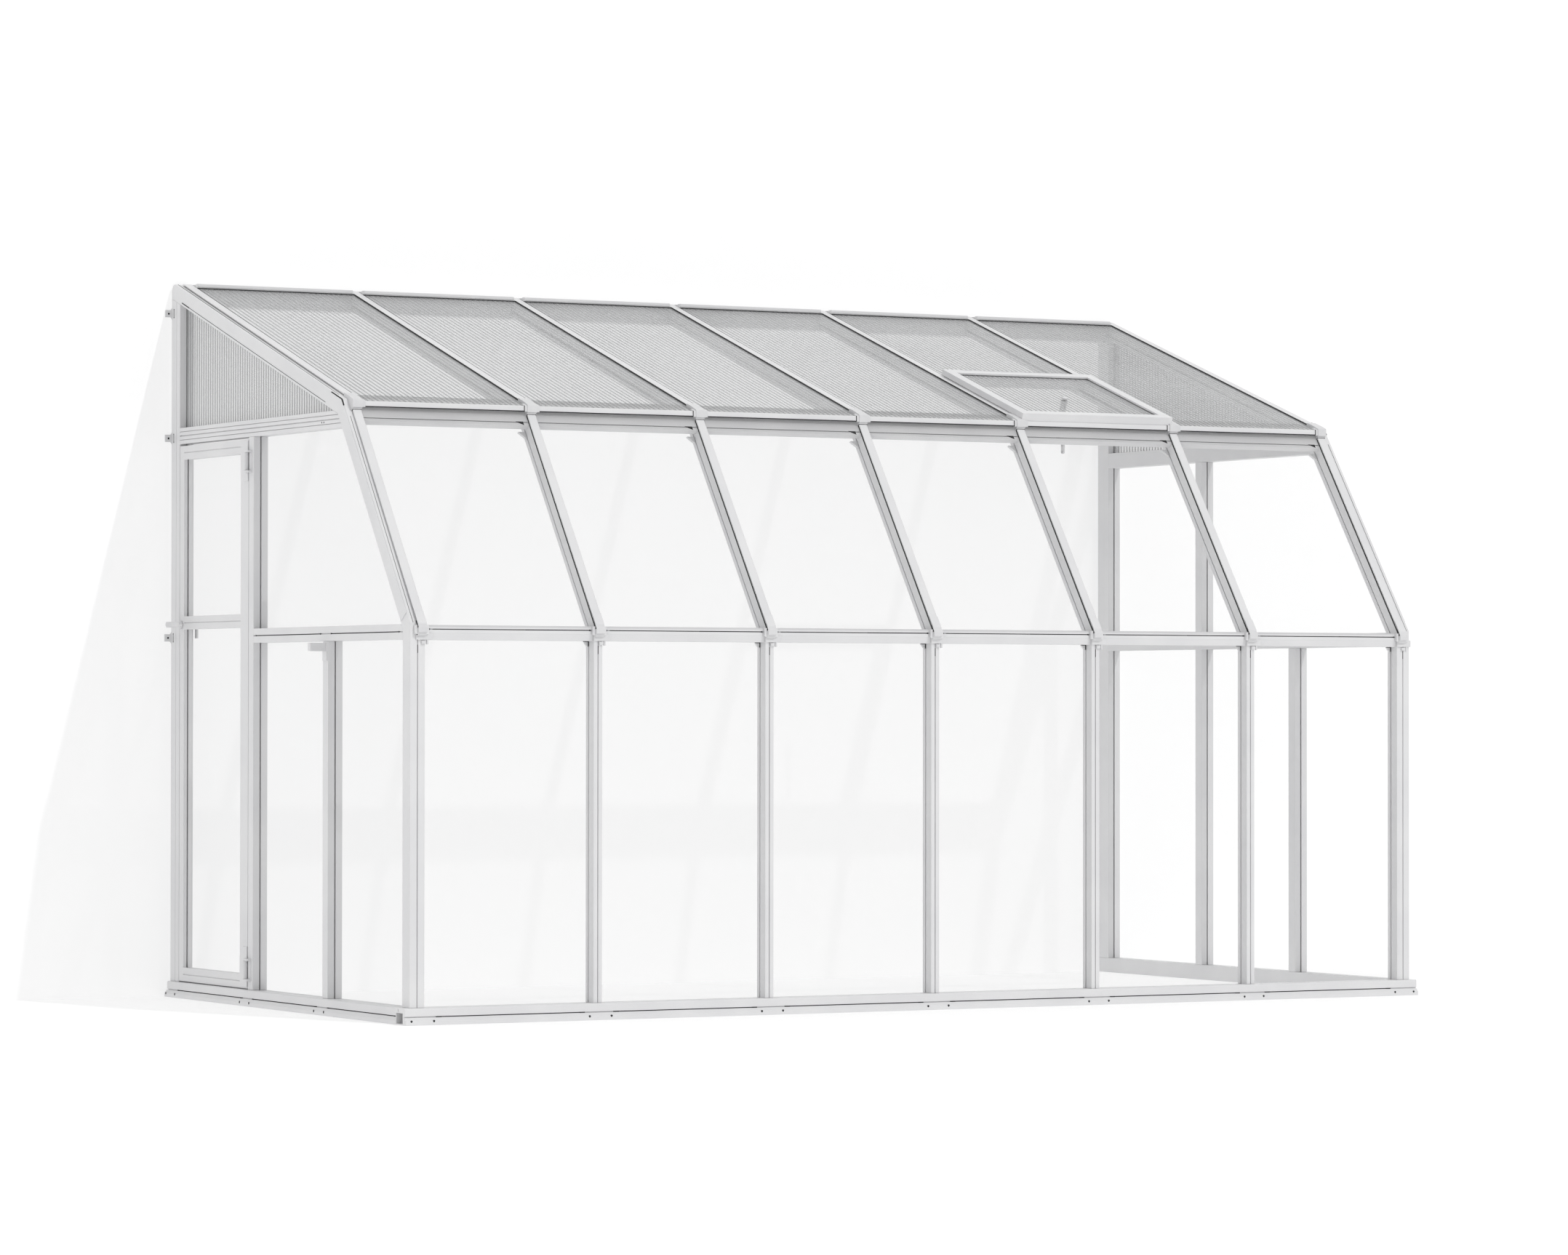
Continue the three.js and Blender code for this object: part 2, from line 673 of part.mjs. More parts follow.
// Uprights of the two ends. Plans are outward reach from the end bay line, and Y.
function upright(side, front, back, top, channels) {
  const inner = -halfPost;
  const plan = [[inner, front]];
  if (channels.front) {
    plan.push([sideChannelIn, front], [sideChannelIn, front + channelDepth]);
    plan.push([sideChannelEnd, front + channelDepth], [sideChannelEnd, front]);
  }
  plan.push([cornerReach, front], [cornerReach, back]);
  if (channels.back) {
    plan.push([sideChannelEnd, back], [sideChannelEnd, back - channelDepth]);
    plan.push([sideChannelIn, back - channelDepth], [sideChannelIn, back]);
  }
  plan.push([inner, back]);
  const chamber = rect(sideChannelEnd + wallThickness, cornerReach - wallThickness,
    front + wallThickness, back - wallThickness);
  const toPlan = ([outward, y]) => [across(side, outward), y];
  return extrude(plan.map(toPlan), alongZ, footHeight, top, [chamber.map(toPlan)]);
}

function wallPost(side) {
  const post = upright(side, wallPostFront, depthToWall, ridgeTop, { front: true })
    .intersect(insideAt(barDepth + fitGap));
  const groove = block(
    [across(side, cornerReach - slitWidth), across(side, cornerReach + slitWidth)]
      .sort((a, b) => a - b),
    [depthToWall - wallPostGroove - slitWidth / 2, depthToWall - wallPostGroove],
    [footHeight - slitWidth, ridgeTop],
  );
  const tabs = [];
  const holes = [];
  const levels = [sideRailCentre, headerBottom + headerTabRise, ridgeBottom - ridgeTabDrop];
  levels.forEach((height) => {
    const half = [[-rootDepth, bracketFootTall / 2], [bracketFootReach, bracketTall / 2],
      [bracketWidth, bracketTall / 2]];
    const edge = [...half, ...half.map(([reach, rise]) => [reach, -rise]).reverse()];
    const tab = edge.map(([reach, rise]) => [height + rise, across(side, cornerReach + reach)]);
    tabs.push(extrude(tab, alongY, depthToWall - bracketThickness, depthToWall));
    const holeX = across(side, cornerReach + bracketWidth / 2);
    const hole = circle(bracketHoleRadius, height, holeX, smallSegments);
    const holeFront = depthToWall - bracketThickness - rootDepth;
    holes.push(extrude(hole, alongY, holeFront, depthToWall + rootDepth));
  });
  return cutBy(joined([cutBy(post, [groove]), ...tabs]), holes);
}

// Level members of the two ends. Sections are height, and outward reach.
function levelMember(side, bottom, top, from, to, lineRises = []) {
  const middle = (bottom + top) / 2;
  const slit = [middle - slitWidth / 2, middle + slitWidth / 2];
  const section = [[bottom, -halfPost]];
  section.push([bottom, sideChannelIn], [bottom + channelDepth, sideChannelIn]);
  section.push([bottom + channelDepth, sideChannelEnd], [bottom, sideChannelEnd]);
  section.push([bottom, cornerReach], [slit[0], cornerReach], [slit[0], cornerReach - slitDepth]);
  section.push([slit[1], cornerReach - slitDepth], [slit[1], cornerReach], [top, cornerReach]);
  section.push([top, sideChannelEnd], [top - channelDepth, sideChannelEnd]);
  section.push([top - channelDepth, sideChannelIn], [top, sideChannelIn]);
  section.push([top, -halfPost]);
  const chamber = rect(bottom + wallThickness, top - wallThickness,
    sideChannelEnd + wallThickness, cornerReach - slitDepth - wallThickness);
  const toSection = ([height, outward]) => [height, across(side, outward)];
  const member = extrude(section.map(toSection), alongY, from, to, [chamber.map(toSection)]);
  return cutBy(member, lineRises.map((rise) => extrude(
    rect(middle + rise - slitWidth / 4, middle + rise + slitWidth / 4,
      cornerReach - lineDepth, cornerReach + lineDepth).map(toSection),
    alongY, from - rootDepth, to + rootDepth,
  )));
}

const insideBars = insideAt(barDepth + fitGap);
const insideChannels = insideAt(barDepth - paneReach);
const studBack = studFront + studWidth;

function header(side) {
  const whole = levelMember(side, headerBottom, headerTop, barDepth, wallPostFront - fitGap,
    [-headerLineRise, headerLineRise]);
  return whole.intersect(insideBars);
}

function sideRail(side) {
  const stop = side < 0 ? studFront : wallPostFront;
  const from = barDepth + fitGap;
  const whole = levelMember(side, sideRailBottom, sideRailTop, from, stop - fitGap)
    .intersect(insideBars);
  return side < 0 ? whole : cutBy(whole, [aroundStud(side)]);
}

// The right rail passes through its stud as a neck: what is cut away around that neck.
function studNeck(side, margin) {
  const low = sideRailBottom + channelDepth + wallThickness - margin;
  const high = sideRailTop - channelDepth - wallThickness + margin;
  const outer = sideChannelEnd + wallThickness + margin;
  const inner = wallThickness - halfPost - margin;
  return block(
    [across(side, inner), across(side, outer)].sort((a, b) => a - b),
    [studFront - rootDepth, studBack + rootDepth], [low, high],
  );
}
function aroundStud(side) {
  const slot = block(
    [across(side, -cornerReach), across(side, 2 * cornerReach)].sort((a, b) => a - b),
    [studFront - fitGap, studBack + fitGap], [sideRailBottom - rootDepth, sideRailTop + rootDepth],
  );
  return cutBy(slot, [studNeck(side, 0)]);
}

function sidePane(side, front, back, bottom, top) {
  const pane = block(
    [across(side, sideChannelOut - glazing / 2), across(side, sideChannelOut + glazing / 2)]
      .sort((a, b) => a - b),
    [front - paneReach, back + paneReach], [bottom - paneReach, top + paneReach],
  );
  return pane.intersect(insideChannels);
}

// Twin-wall sheet: two skins joined by webs, with an open cell between each two webs.
function twinWallSheet(span, near, frame, low, high, place = (a, b) => [a, b]) {
  const [from, to] = span;
  const count = Math.round((to - from - webThickness) / twinWallPitch);
  const pitch = (to - from - webThickness) / count;
  const outline = rect(from, to, near, near + glazing).map(([a, b]) => place(a, b));
  const cells = Array.from({ length: count }, (_, cell) => {
    const start = from + webThickness + cell * pitch;
    const hole = rect(start, start + pitch - webThickness, near + skinThickness,
      near + glazing - skinThickness).map(([a, b]) => place(a, b));
    return extrude(hole, frame, low - rootDepth, high + rootDepth);
  });
  return cutBy(extrude(outline, frame, low, high), cells);
}

function roofPanel(bay) {
  const [left, right] = bayEnds(bay);
  const inset = stemWidth / 2 + fitGap;
  const near = -fitGap - glazing;
  const low = bay === ventBay ? upstandEnd + fitGap : eaveStem + fitGap;
  const high = roofDistanceAt(wallPostFront) - 2 * fitGap;
  return twinWallSheet([left + inset, right - inset], near, roofSheet, low, high);
}

function slopePane(bay) {
  const [left, right] = bayEnds(bay);
  const inset = stemWidth / 2 + fitGap;
  const outline = rect(left + inset, right - inset, -fitGap - glazing, -fitGap);
  return extrude(outline, slopeSheet, fitGap - paneReach, slopeLength - eaveStem - fitGap);
}

function frontPane(bay) {
  const [left, right] = bayEnds(bay);
  const inset = halfPost - paneReach;
  return block(
    [left + inset, right - inset],
    [channelNear + fitGap, channelFar - fitGap],
    [baseHeight - paneReach, midRailBottom + paneReach],
  );
}

function gablePanel(side) {
  const span = [barDepth, wallPostFront + paneReach];
  const near = across(side, sideChannelOut) - glazing / 2;
  const top = roofHeightAt(depthToWall, 0);
  const sheet = twinWallSheet(span, near, alongZ, headerTop - paneReach, top, (y, x) => [x, y]);
  return sheet.intersect(insideChannels);
}

// The door: stiles and rails with glazing grooves, and knuckles on the stud's pins.
const hingeX = across(-1, cornerReach + hingeStandOff);
const hingeY = studBack + hingeSetback;
const doorEdge = { front: studBack + doorGap, back: wallPostFront - doorGap };
const doorInner = cornerReach - doorThickness;
const doorPaneOut = doorInner + doorThickness / 2;
const doorOpenings = [
  [doorBottom + doorBottomRail, doorMidBottom],
  [doorMidTop, doorTop - doorTopRail],
];

function leftBlock(outwards, y, z) {
  return block([across(-1, outwards[1]), across(-1, outwards[0])], y, z);
}

function doorFrame() {
  const inside = [doorEdge.front + hingeStileWidth, doorEdge.back - latchStileWidth];
  const slab = leftBlock([doorInner, cornerReach], [doorEdge.front, doorEdge.back],
    [doorBottom, doorTop]);
  const groove = [doorPaneOut - channelWidth / 2, doorPaneOut + channelWidth / 2];
  const cutters = doorOpenings.flatMap(([low, high]) => [
    leftBlock([doorInner - rootDepth, cornerReach + rootDepth], inside, [low, high]),
    leftBlock(groove, [inside[0] - channelDepth, inside[1] + channelDepth],
      [low - channelDepth, high + channelDepth]),
  ]);
  const railLines = [doorBottom + doorBottomRail / 2, (doorMidBottom + doorMidTop) / 2,
    doorTop - doorTopRail / 2];
  railLines.forEach((height) => cutters.push(leftBlock(
    [cornerReach - slitWidth, cornerReach + slitWidth], inside,
    [height - slitWidth / 2, height + slitWidth / 2],
  )));
  const spindleY = doorEdge.back - handleFromEdge;
  const spindle = circle(spindleRadius + fitGap, spindleY, handleHeight);
  cutters.push(extrude(spindle, alongX, across(-1, cornerReach + rootDepth), across(-1, 0)));
  const pieces = [cutBy(slab, cutters)];
  hingeCentres.forEach((centre) => {
    const span = [centre - hingeKnuckleLength / 2, centre + hingeKnuckleLength / 2];
    const tube = extrude(circle(hingeRadius, hingeX, hingeY), alongZ, span[0], span[1]);
    const turn = Math.sign(centre - doorMidTop);
    const end = turn > 0 ? doorTop - hingeLeafInset : doorBottom + hingeLeafInset;
    const leafPlan = [[0, 0], [hingeLeafShoulder, 0], [hingeLeafReach, hingeLeafSlant],
      [hingeLeafReach, hingeLeafTall - hingeLeafSlant], [hingeLeafShoulder, hingeLeafTall],
      [0, hingeLeafTall]].map(([reach, drop]) => [doorEdge.front + reach, end - turn * drop]);
    const strap = extrude(leafPlan, alongX, across(-1, cornerReach + hingeLeafThickness),
      across(-1, cornerReach - rootDepth));
    const inner = hingeKnuckleLength / 2;
    const outer = inner + hingeEarThickness + 2 * fitGap;
    const reliefs = [[-outer, -inner], [inner, outer]].map(([from, to]) => extrude(
      circle(hingeReliefRadius, hingeX, hingeY), alongZ, centre + from, centre + to,
    ).intersect(leftBlock([cornerReach, cornerReach + hingeStandOff],
      [doorEdge.front - rootDepth, hingeY + hingeReliefRadius],
      [centre + from, centre + to])));
    const web = leftBlock([cornerReach - rootDepth, cornerReach + hingeStandOff],
      [doorEdge.front, hingeY + hingeRadius], span);
    const bore = extrude(
      circle(hingePinRadius + fitGap, hingeX, hingeY), alongZ,
      span[0] - rootDepth, span[1] + rootDepth,
    );
    pieces.push(cutBy(joined([tube, web, cutBy(strap, reliefs)]), [bore]));
  });
  return joined(pieces);
}

function doorPane(opening) {
  const inside = [doorEdge.front + hingeStileWidth, doorEdge.back - latchStileWidth];
  return leftBlock([doorPaneOut - glazing / 2, doorPaneOut + glazing / 2],
    [inside[0] - paneReach, inside[1] + paneReach],
    [opening[0] - paneReach, opening[1] + paneReach]);
}

function doorPost() {
  const post = upright(-1, studFront, studBack, headerBottom - fitGap, { front: true });
  const pieces = [post];
  hingeCentres.forEach((centre) => {
    const half = hingeKnuckleLength / 2 + fitGap;
    const outer = half + hingeEarThickness;
    [[centre - outer, centre - half], [centre + half, centre + outer]].forEach((span) => {
      const disc = extrude(circle(hingeRadius, hingeX, hingeY), alongZ, span[0], span[1]);
      const bridge = leftBlock(
        [cornerReach + hingeStandOff - hingeRadius, cornerReach + hingeStandOff + hingeRadius],
        [hingeY - hingeLeafWidth, hingeY], span,
      );
      pieces.push(disc, bridge);
    });
    const leafBack = hingeY - hingeRadius - fitGap * 2;
    pieces.push(leftBlock([cornerReach - rootDepth, cornerReach + hingeLeafThickness],
      [hingeY - hingeLeafWidth, leafBack], [centre - outer, centre + outer]));
    const pin = circle(hingePinRadius, hingeX, hingeY);
    pieces.push(extrude(pin, alongZ, centre - outer, centre + outer));
  });
  return joined(pieces);
}

function doorHandle() {
  const spindleY = doorEdge.back - handleFromEdge;
  const disc = (radius, out, into) => extrude(
    circle(radius, spindleY, handleHeight), alongX,
    across(-1, cornerReach + out), across(-1, cornerReach + into),
  );
  const leverBack = leverStandOff + leverThickness;
  const hub = circle(leverHubRadius, spindleY, handleHeight).filter(([y]) => y >= spindleY);
  const tip = circle(leverTipRadius, spindleY - leverLength, handleHeight)
    .filter(([y]) => y <= spindleY - leverLength);
  const byHeight = (list, turn) => list.sort((a, b) => turn * (a[1] - b[1]));
  const lever = extrude([...byHeight(hub, 1), ...byHeight(tip, -1)], alongX,
    across(-1, cornerReach + leverBack), across(-1, cornerReach + leverStandOff));
  const wallInner = -halfPost - latchGap;
  const spindle = disc(spindleRadius, leverStandOff + rootDepth,
    wallInner - latchArmThickness - cornerReach);
  const arm = leftBlock([wallInner - latchArmThickness, wallInner],
    [spindleY - latchArmWidth / 2, spindleY + latchArmWidth / 2],
    [handleHeight - latchArmLength, handleHeight + latchArmWidth / 2]);
  return joined([disc(roseRadius, roseGap + roseThickness, roseGap), lever, spindle, arm]);
}

// The left mullion carries a plate with a stub, the stop for the door folded right back.
function mullion(side) {
  const post = upright(side, mullionFront, mullionFront + studWidth, sideRailBottom - fitGap,
    { front: true, back: true });
  if (side > 0) {
    return post;
  }
  const centreY = mullionFront + studWidth / 2;
  const onPost = (reach, wide, tall, top) => leftBlock(
    [cornerReach - rootDepth, cornerReach + reach],
    [centreY - wide / 2, centreY + wide / 2], [top - tall, top],
  );
  const top = catchHeight + catchTall / 2;
  const stub = onPost(catchReach, catchWide, catchTall, top);
  const plate = onPost(catchPlateThickness, catchPlateWide, catchPlateTall, top);
  return joined([post, stub, plate]);
}

function rightStud() {
  const stud = upright(1, studFront, studBack, headerBottom - fitGap, { front: true, back: true });
  return cutBy(stud, [studNeck(1, fitGap)]);
}

// The roof vent. Places on it are x, distance up the roof, and rise above the bars.
const ventCentreX = bayCentre(ventBay);
const ventHalf = bayPitch / 2 - ventSideGap;
const earSpan = ventKnuckleLength / 2 + fitGap;
const ventHingeSpots = [-ventHingeSpacing, 0, ventHingeSpacing];

function ventCrossBar() {
  const half = bayPitch / 2 - halfPost - fitGap;
  const section = [
    [crossBarStart, -crossBarDepth], [crossBarStart + crossBarWidth, -crossBarDepth],
    [crossBarStart + crossBarWidth, 0], [upstandEnd, 0], [upstandEnd, upstandRise],
    [upstandStart, upstandRise], [upstandStart, 0], [crossBarStart, 0],
  ];
  const chamber = rect(crossBarStart + wallThickness, crossBarStart + crossBarWidth - wallThickness,
    wallThickness - crossBarDepth, -wallThickness);
  const pieces = [extrude(section, roofSection, ventCentreX - half, ventCentreX + half, [chamber])];
  ventHingeSpots.forEach((spot) => {
    const middle = ventCentreX + spot;
    [-1, 1].forEach((turn) => {
      const ends = [middle + turn * earSpan, middle + turn * (earSpan + ventEarThickness)]
        .sort((a, b) => a - b);
      pieces.push(extrude(
        circle(ventHingeRadius, ventHingeAlong, ventHingeRise, smallSegments), roofSection,
        ends[0], ends[1],
      ));
      pieces.push(extrude(
        rect(ventHingeAlong, upstandStart + rootDepth, ventHingeRise - ventHingeRadius,
          ventHingeRise + ventHingeRadius), roofSection, ends[0], ends[1],
      ));
    });
    pieces.push(extrude(circle(ventPinRadius, ventHingeAlong, ventHingeRise, smallSegments),
      roofSection, middle - earSpan - rootDepth, middle + earSpan + rootDepth));
  });
  return joined(pieces);
}

function ventFrame() {
  const sides = [ventCentreX - ventHalf, ventCentreX + ventHalf];
  const inner = [sides[0] + ventBarWidth, sides[1] - ventBarWidth];
  const open = [ventLowEdge + ventBarWidth, ventHighEdge - ventBarWidth];
  const slab = extrude(rect(sides[0], sides[1], ventLowEdge, ventHighEdge), roofFace,
    ventUnderside, ventTop);
  const opening = extrude(rect(inner[0], inner[1], open[0], open[1]), roofFace,
    ventUnderside - rootDepth, ventTop + rootDepth);
  const groove = extrude(
    rect(inner[0] - channelDepth, inner[1] + channelDepth, open[0] - channelDepth,
      open[1] + channelDepth), roofFace,
    ventPanelRise - channelWidth / 2, ventPanelRise + channelWidth / 2,
  );
  const drip = extrude(rect(sides[0], sides[1], ventLowEdge, ventLowEdge + ventDripThickness),
    roofFace, ventUnderside - ventDripDrop, ventUnderside + rootDepth);
  const pieces = [cutBy(slab, [opening, groove]), drip];
  ventHingeSpots.forEach((spot) => {
    const ends = [ventCentreX + spot - ventKnuckleLength / 2,
      ventCentreX + spot + ventKnuckleLength / 2];
    const tube = extrude(
      circle(ventHingeRadius, ventHingeAlong, ventHingeRise, smallSegments), roofSection,
      ends[0], ends[1],
    );
    const web = extrude(
      rect(ventHighEdge - rootDepth, ventHingeAlong, ventHingeRise - ventHingeRadius,
        ventHingeRise + ventHingeRadius), roofSection, ends[0], ends[1],
    );
    const bore = extrude(
      circle(ventPinRadius + fitGap, ventHingeAlong, ventHingeRise, smallSegments), roofSection,
      ends[0] - rootDepth, ends[1] + rootDepth,
    );
    pieces.push(cutBy(joined([tube, web]), [bore]));
  });
  return joined(pieces);
}

function ventPanel() {
  const from = ventCentreX - ventHalf + ventBarWidth - paneReach;
  const to = ventCentreX + ventHalf - ventBarWidth + paneReach;
  const near = -ventPanelRise - glazing / 2;
  const sheet = twinWallSheet([from, to], near, roofSheet,
    ventLowEdge + ventBarWidth - paneReach, ventHighEdge - ventBarWidth + paneReach);
  const hole = extrude(circle(boltRadius + fitGap, ventCentreX, knobAlong, smallSegments), roofFace,
    0, ventTop);
  return cutBy(sheet, [hole]);
}

function ventBracket() {
  const above = ventPanelRise + glazing / 2 + fitGap;
  const below = ventPanelRise - glazing / 2 - fitGap;
  const knob = extrude(circle(knobRadius, ventCentreX, knobAlong), roofFace, above,
    above + knobRise);
  const bolt = extrude(circle(boltRadius, ventCentreX, knobAlong, smallSegments), roofFace,
    below - rootDepth, above + rootDepth);
  const earOuter = stayThickness / 2 + fitGap + clevisEarThickness;
  const clevis = extrude(
    rect(ventCentreX - earOuter, ventCentreX + earOuter, knobAlong - clevisHalfLength,
      knobAlong + clevisHalfLength), roofFace, -clevisDrop, below,
  );
  const slot = extrude(
    rect(ventCentreX - stayThickness / 2 - fitGap, ventCentreX + stayThickness / 2 + fitGap,
      knobAlong - 2 * clevisHalfLength, knobAlong + 2 * clevisHalfLength), roofFace,
    -clevisDrop - rootDepth, stayHeight - stayPivotDrop,
  );
  const pin = extrude(circle(stayPinRadius, knobAlong, -stayPivotDrop, smallSegments), roofSection,
    ventCentreX - earOuter, ventCentreX + earOuter);
  return joined([knob, bolt, cutBy(clevis, [slot]), pin]);
}

// The stay hangs plumb from its pin.
function ventStay() {
  const away = new THREE.Vector2(-Math.sin(roofTilt), -Math.cos(roofTilt));
  const over = new THREE.Vector2(-away.y, away.x);
  const place = (along, rise) => {
    const point = new THREE.Vector2(knobAlong, -stayPivotDrop);
    return point.addScaledVector(away, along).addScaledVector(over, rise);
  };
  const half = stayHeight / 2;
  const nose = circle(half, stayLength, 0).filter(([along]) => along >= stayLength);
  const ordered = nose.sort((a, b) => a[1] - b[1]);
  const outline = pairs([place(0, half), place(0, -half),
    ...ordered.map(([along, rise]) => place(along, rise))]);
  const from = ventCentreX - stayThickness / 2;
  const to = ventCentreX + stayThickness / 2;
  const bar = extrude(outline, roofSection, from, to);
  const eye = extrude(circle(half, knobAlong, -stayPivotDrop), roofSection, from, to);
  const holes = [extrude(circle(stayPinRadius + fitGap, knobAlong, -stayPivotDrop, smallSegments),
    roofSection, from - rootDepth, to + rootDepth)];
  for (let step = 0; step < stayHoleCount; step += 1) {
    const centre = place(stayLength - step * stayHolePitch, 0);
    holes.push(extrude(circle(stayHoleRadius, centre.x, centre.y, smallSegments), roofSection,
      from - rootDepth, to + rootDepth));
  }
  return cutBy(joined([bar, eye]), holes);
}

const frameWhite = { color: 0xeeeeec, roughness: 0.42, metalness: 0 };
const clearSheet = { color: 0xf4f8f8, roughness: 0.08, transparent: true, opacity: 0.25 };
const twinWall = { color: 0xdfe3e3, roughness: 0.3, transparent: true, opacity: 0.7 };
const darkPlastic = { color: 0xd9d9d6, roughness: 0.5, metalness: 0 };

const group = new THREE.Group();
function put(name, solid, look) {
  const { vertProperties, triVerts } = solid.getMesh();
  const geometry = new THREE.BufferGeometry();
  geometry.setAttribute('position', new THREE.Float32BufferAttribute(vertProperties, 3));
  geometry.setIndex(Array.from(triVerts));
  const flat = geometry.toNonIndexed();
  flat.computeVertexNormals();
  const mesh = new THREE.Mesh(flat, new THREE.MeshStandardMaterial(look));
  mesh.name = name;
  group.add(mesh);
}

for (let index = 0; index <= bayCount; index += 1) {
  put(`rib_${index + 1}`, rib(index), frameWhite);
}
put('base_front', baseFront(), frameWhite);
put('front_mid_rail', frontMidRail(), frameWhite);
put('eave_rail', eaveRail(), frameWhite);
put('ridge_rail', ridgeRail(), frameWhite);
[[-1, 'left'], [1, 'right']].forEach(([side, end]) => {
  put(`base_${end}`, baseSide(side), frameWhite);
  put(`wall_post_${end}`, wallPost(side), frameWhite);
  put(`mullion_${end}`, mullion(side), frameWhite);
  put(`side_rail_${end}`, sideRail(side), frameWhite);
  put(`header_${end}`, header(side), frameWhite);
  put(`gable_panel_${end}`, gablePanel(side), twinWall);
  const fronts = [barDepth, mullionFront + studWidth, studBack];
  const backs = [mullionFront, studFront, wallPostFront];
  const lowCount = side < 0 ? 2 : fronts.length;
  for (let place = 0; place < lowCount; place += 1) {
    const pane = sidePane(side, fronts[place], backs[place], baseHeight, sideRailBottom);
    put(`${end}_low_pane_${place + 1}`, pane, clearSheet);
  }
  put(`${end}_high_pane_1`, sidePane(side, barDepth, studFront, sideRailTop, headerBottom),
    clearSheet);
});
put('right_high_pane_2', sidePane(1, studBack, wallPostFront, sideRailTop, headerBottom),
  clearSheet);
put('right_stud', rightStud(), frameWhite);
put('door_post', doorPost(), frameWhite);
put('door_frame', doorFrame(), frameWhite);
put('door_pane_lower', doorPane(doorOpenings[0]), clearSheet);
put('door_pane_upper', doorPane(doorOpenings[1]), clearSheet);
put('door_handle', doorHandle(), darkPlastic);

for (let bay = 0; bay < bayCount; bay += 1) {
  put(`front_pane_${bay + 1}`, frontPane(bay), clearSheet);
  put(`slope_pane_${bay + 1}`, slopePane(bay), clearSheet);
  put(`roof_panel_${bay + 1}`, roofPanel(bay), twinWall);
}
put('vent_cross_bar', ventCrossBar(), frameWhite);
put('vent_frame', ventFrame(), frameWhite);
put('vent_panel', ventPanel(), twinWall);
put('vent_bracket', ventBracket(), darkPlastic);
put('vent_stay', ventStay(), darkPlastic);

export default group;
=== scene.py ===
import json
import math

import bmesh
import bpy
import numpy as np
from mathutils import Matrix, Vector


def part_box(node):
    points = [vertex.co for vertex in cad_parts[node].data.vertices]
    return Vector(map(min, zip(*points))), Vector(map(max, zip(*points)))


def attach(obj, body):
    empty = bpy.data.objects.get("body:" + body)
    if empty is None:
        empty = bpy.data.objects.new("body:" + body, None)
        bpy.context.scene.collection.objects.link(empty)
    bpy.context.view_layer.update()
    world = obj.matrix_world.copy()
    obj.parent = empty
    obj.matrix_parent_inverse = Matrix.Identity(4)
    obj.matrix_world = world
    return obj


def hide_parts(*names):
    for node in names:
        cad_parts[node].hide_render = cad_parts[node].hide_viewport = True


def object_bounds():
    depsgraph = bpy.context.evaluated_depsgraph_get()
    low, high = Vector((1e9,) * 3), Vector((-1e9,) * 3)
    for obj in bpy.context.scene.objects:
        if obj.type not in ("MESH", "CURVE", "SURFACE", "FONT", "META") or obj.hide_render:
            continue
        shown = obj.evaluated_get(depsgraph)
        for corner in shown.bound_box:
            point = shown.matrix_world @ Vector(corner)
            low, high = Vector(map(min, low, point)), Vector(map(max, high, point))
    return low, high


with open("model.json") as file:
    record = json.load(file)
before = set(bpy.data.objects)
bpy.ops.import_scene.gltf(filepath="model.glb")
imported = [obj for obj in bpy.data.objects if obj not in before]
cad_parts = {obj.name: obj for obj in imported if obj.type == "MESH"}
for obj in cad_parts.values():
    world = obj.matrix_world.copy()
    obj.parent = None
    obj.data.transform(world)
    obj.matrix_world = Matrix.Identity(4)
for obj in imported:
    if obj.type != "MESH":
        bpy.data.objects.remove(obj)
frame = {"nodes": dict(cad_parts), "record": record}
scene = bpy.context.scene
cadLow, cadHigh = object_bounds()
nodes = frame["nodes"]
record = frame["record"]
bodyOf = {node: body for body, names in record["behaviour"]["bodies"].items() for node in names}
slotOf = {part["node"]: part["material_slot"] for part in record["subparts"]}
print("frame loaded:", len(nodes), "nodes")

# The photo's camera, as solved from its straight lines.
view = {
    "place": (-9.1698, -15.4824, 1.0001),
    "clipEnd": 200.0,
    "yaw": -0.50694,  # about Z, turned from +Y towards +X
    "pitch": 0.01444,
    "roll": 0.00089,
    "lens": 125.06,
    "sensor": 36.0,
}


def setCamera():
    data = bpy.data.cameras.new("photoCamera")
    data.sensor_fit = "HORIZONTAL"
    data.sensor_width = view["sensor"]
    data.lens = view["lens"]
    data.clip_end = view["clipEnd"]
    camera = bpy.data.objects.new("photoCamera", data)
    turn = (
        Matrix.Rotation(view["yaw"], 4, "Z")
        @ Matrix.Rotation(math.pi / 2 + view["pitch"], 4, "X")
        @ Matrix.Rotation(view["roll"], 4, "Z")
    )
    camera.matrix_world = Matrix.Translation(view["place"]) @ turn
    scene.collection.objects.link(camera)
    scene.camera = camera


# A piece's mesh from its corners and faces, shaded smooth up to an angle.
def addMesh(name, corners, faces, material=None, smoothUpTo=None):
    mesh = bpy.data.meshes.new(name)
    mesh.from_pydata(np.asarray(corners, float).tolist(), [], [list(face) for face in faces])
    mesh.update()
    if smoothUpTo is not None:
        mesh.shade_smooth()
        mesh.set_sharp_from_angle(angle=math.radians(smoothUpTo))
    if material is not None:
        mesh.materials.append(material)
    piece = bpy.data.objects.new(name, mesh)
    scene.collection.objects.link(piece)
    return piece


# The floor, the house wall and the light: one crisp sun and an even sky.
studio = {
    "floorHalf": 60.0,
    "paperColour": (0.50, 0.50, 0.50, 1),
    "paperGlow": 0.54,
    "paperRough": 0.95,
    "wallY": 1.9365,  # just behind the part's wall plane
    "wallTall": 30.0,
    "skyColour": (1.0, 1.0, 1.0, 1),
    "skyStrength": 0.66,
    "sunStrength": 0.98,
    "sunWidth": 0.7,  # degrees
    "sunFrom": (0.338, -1.0, 0.9965),
}


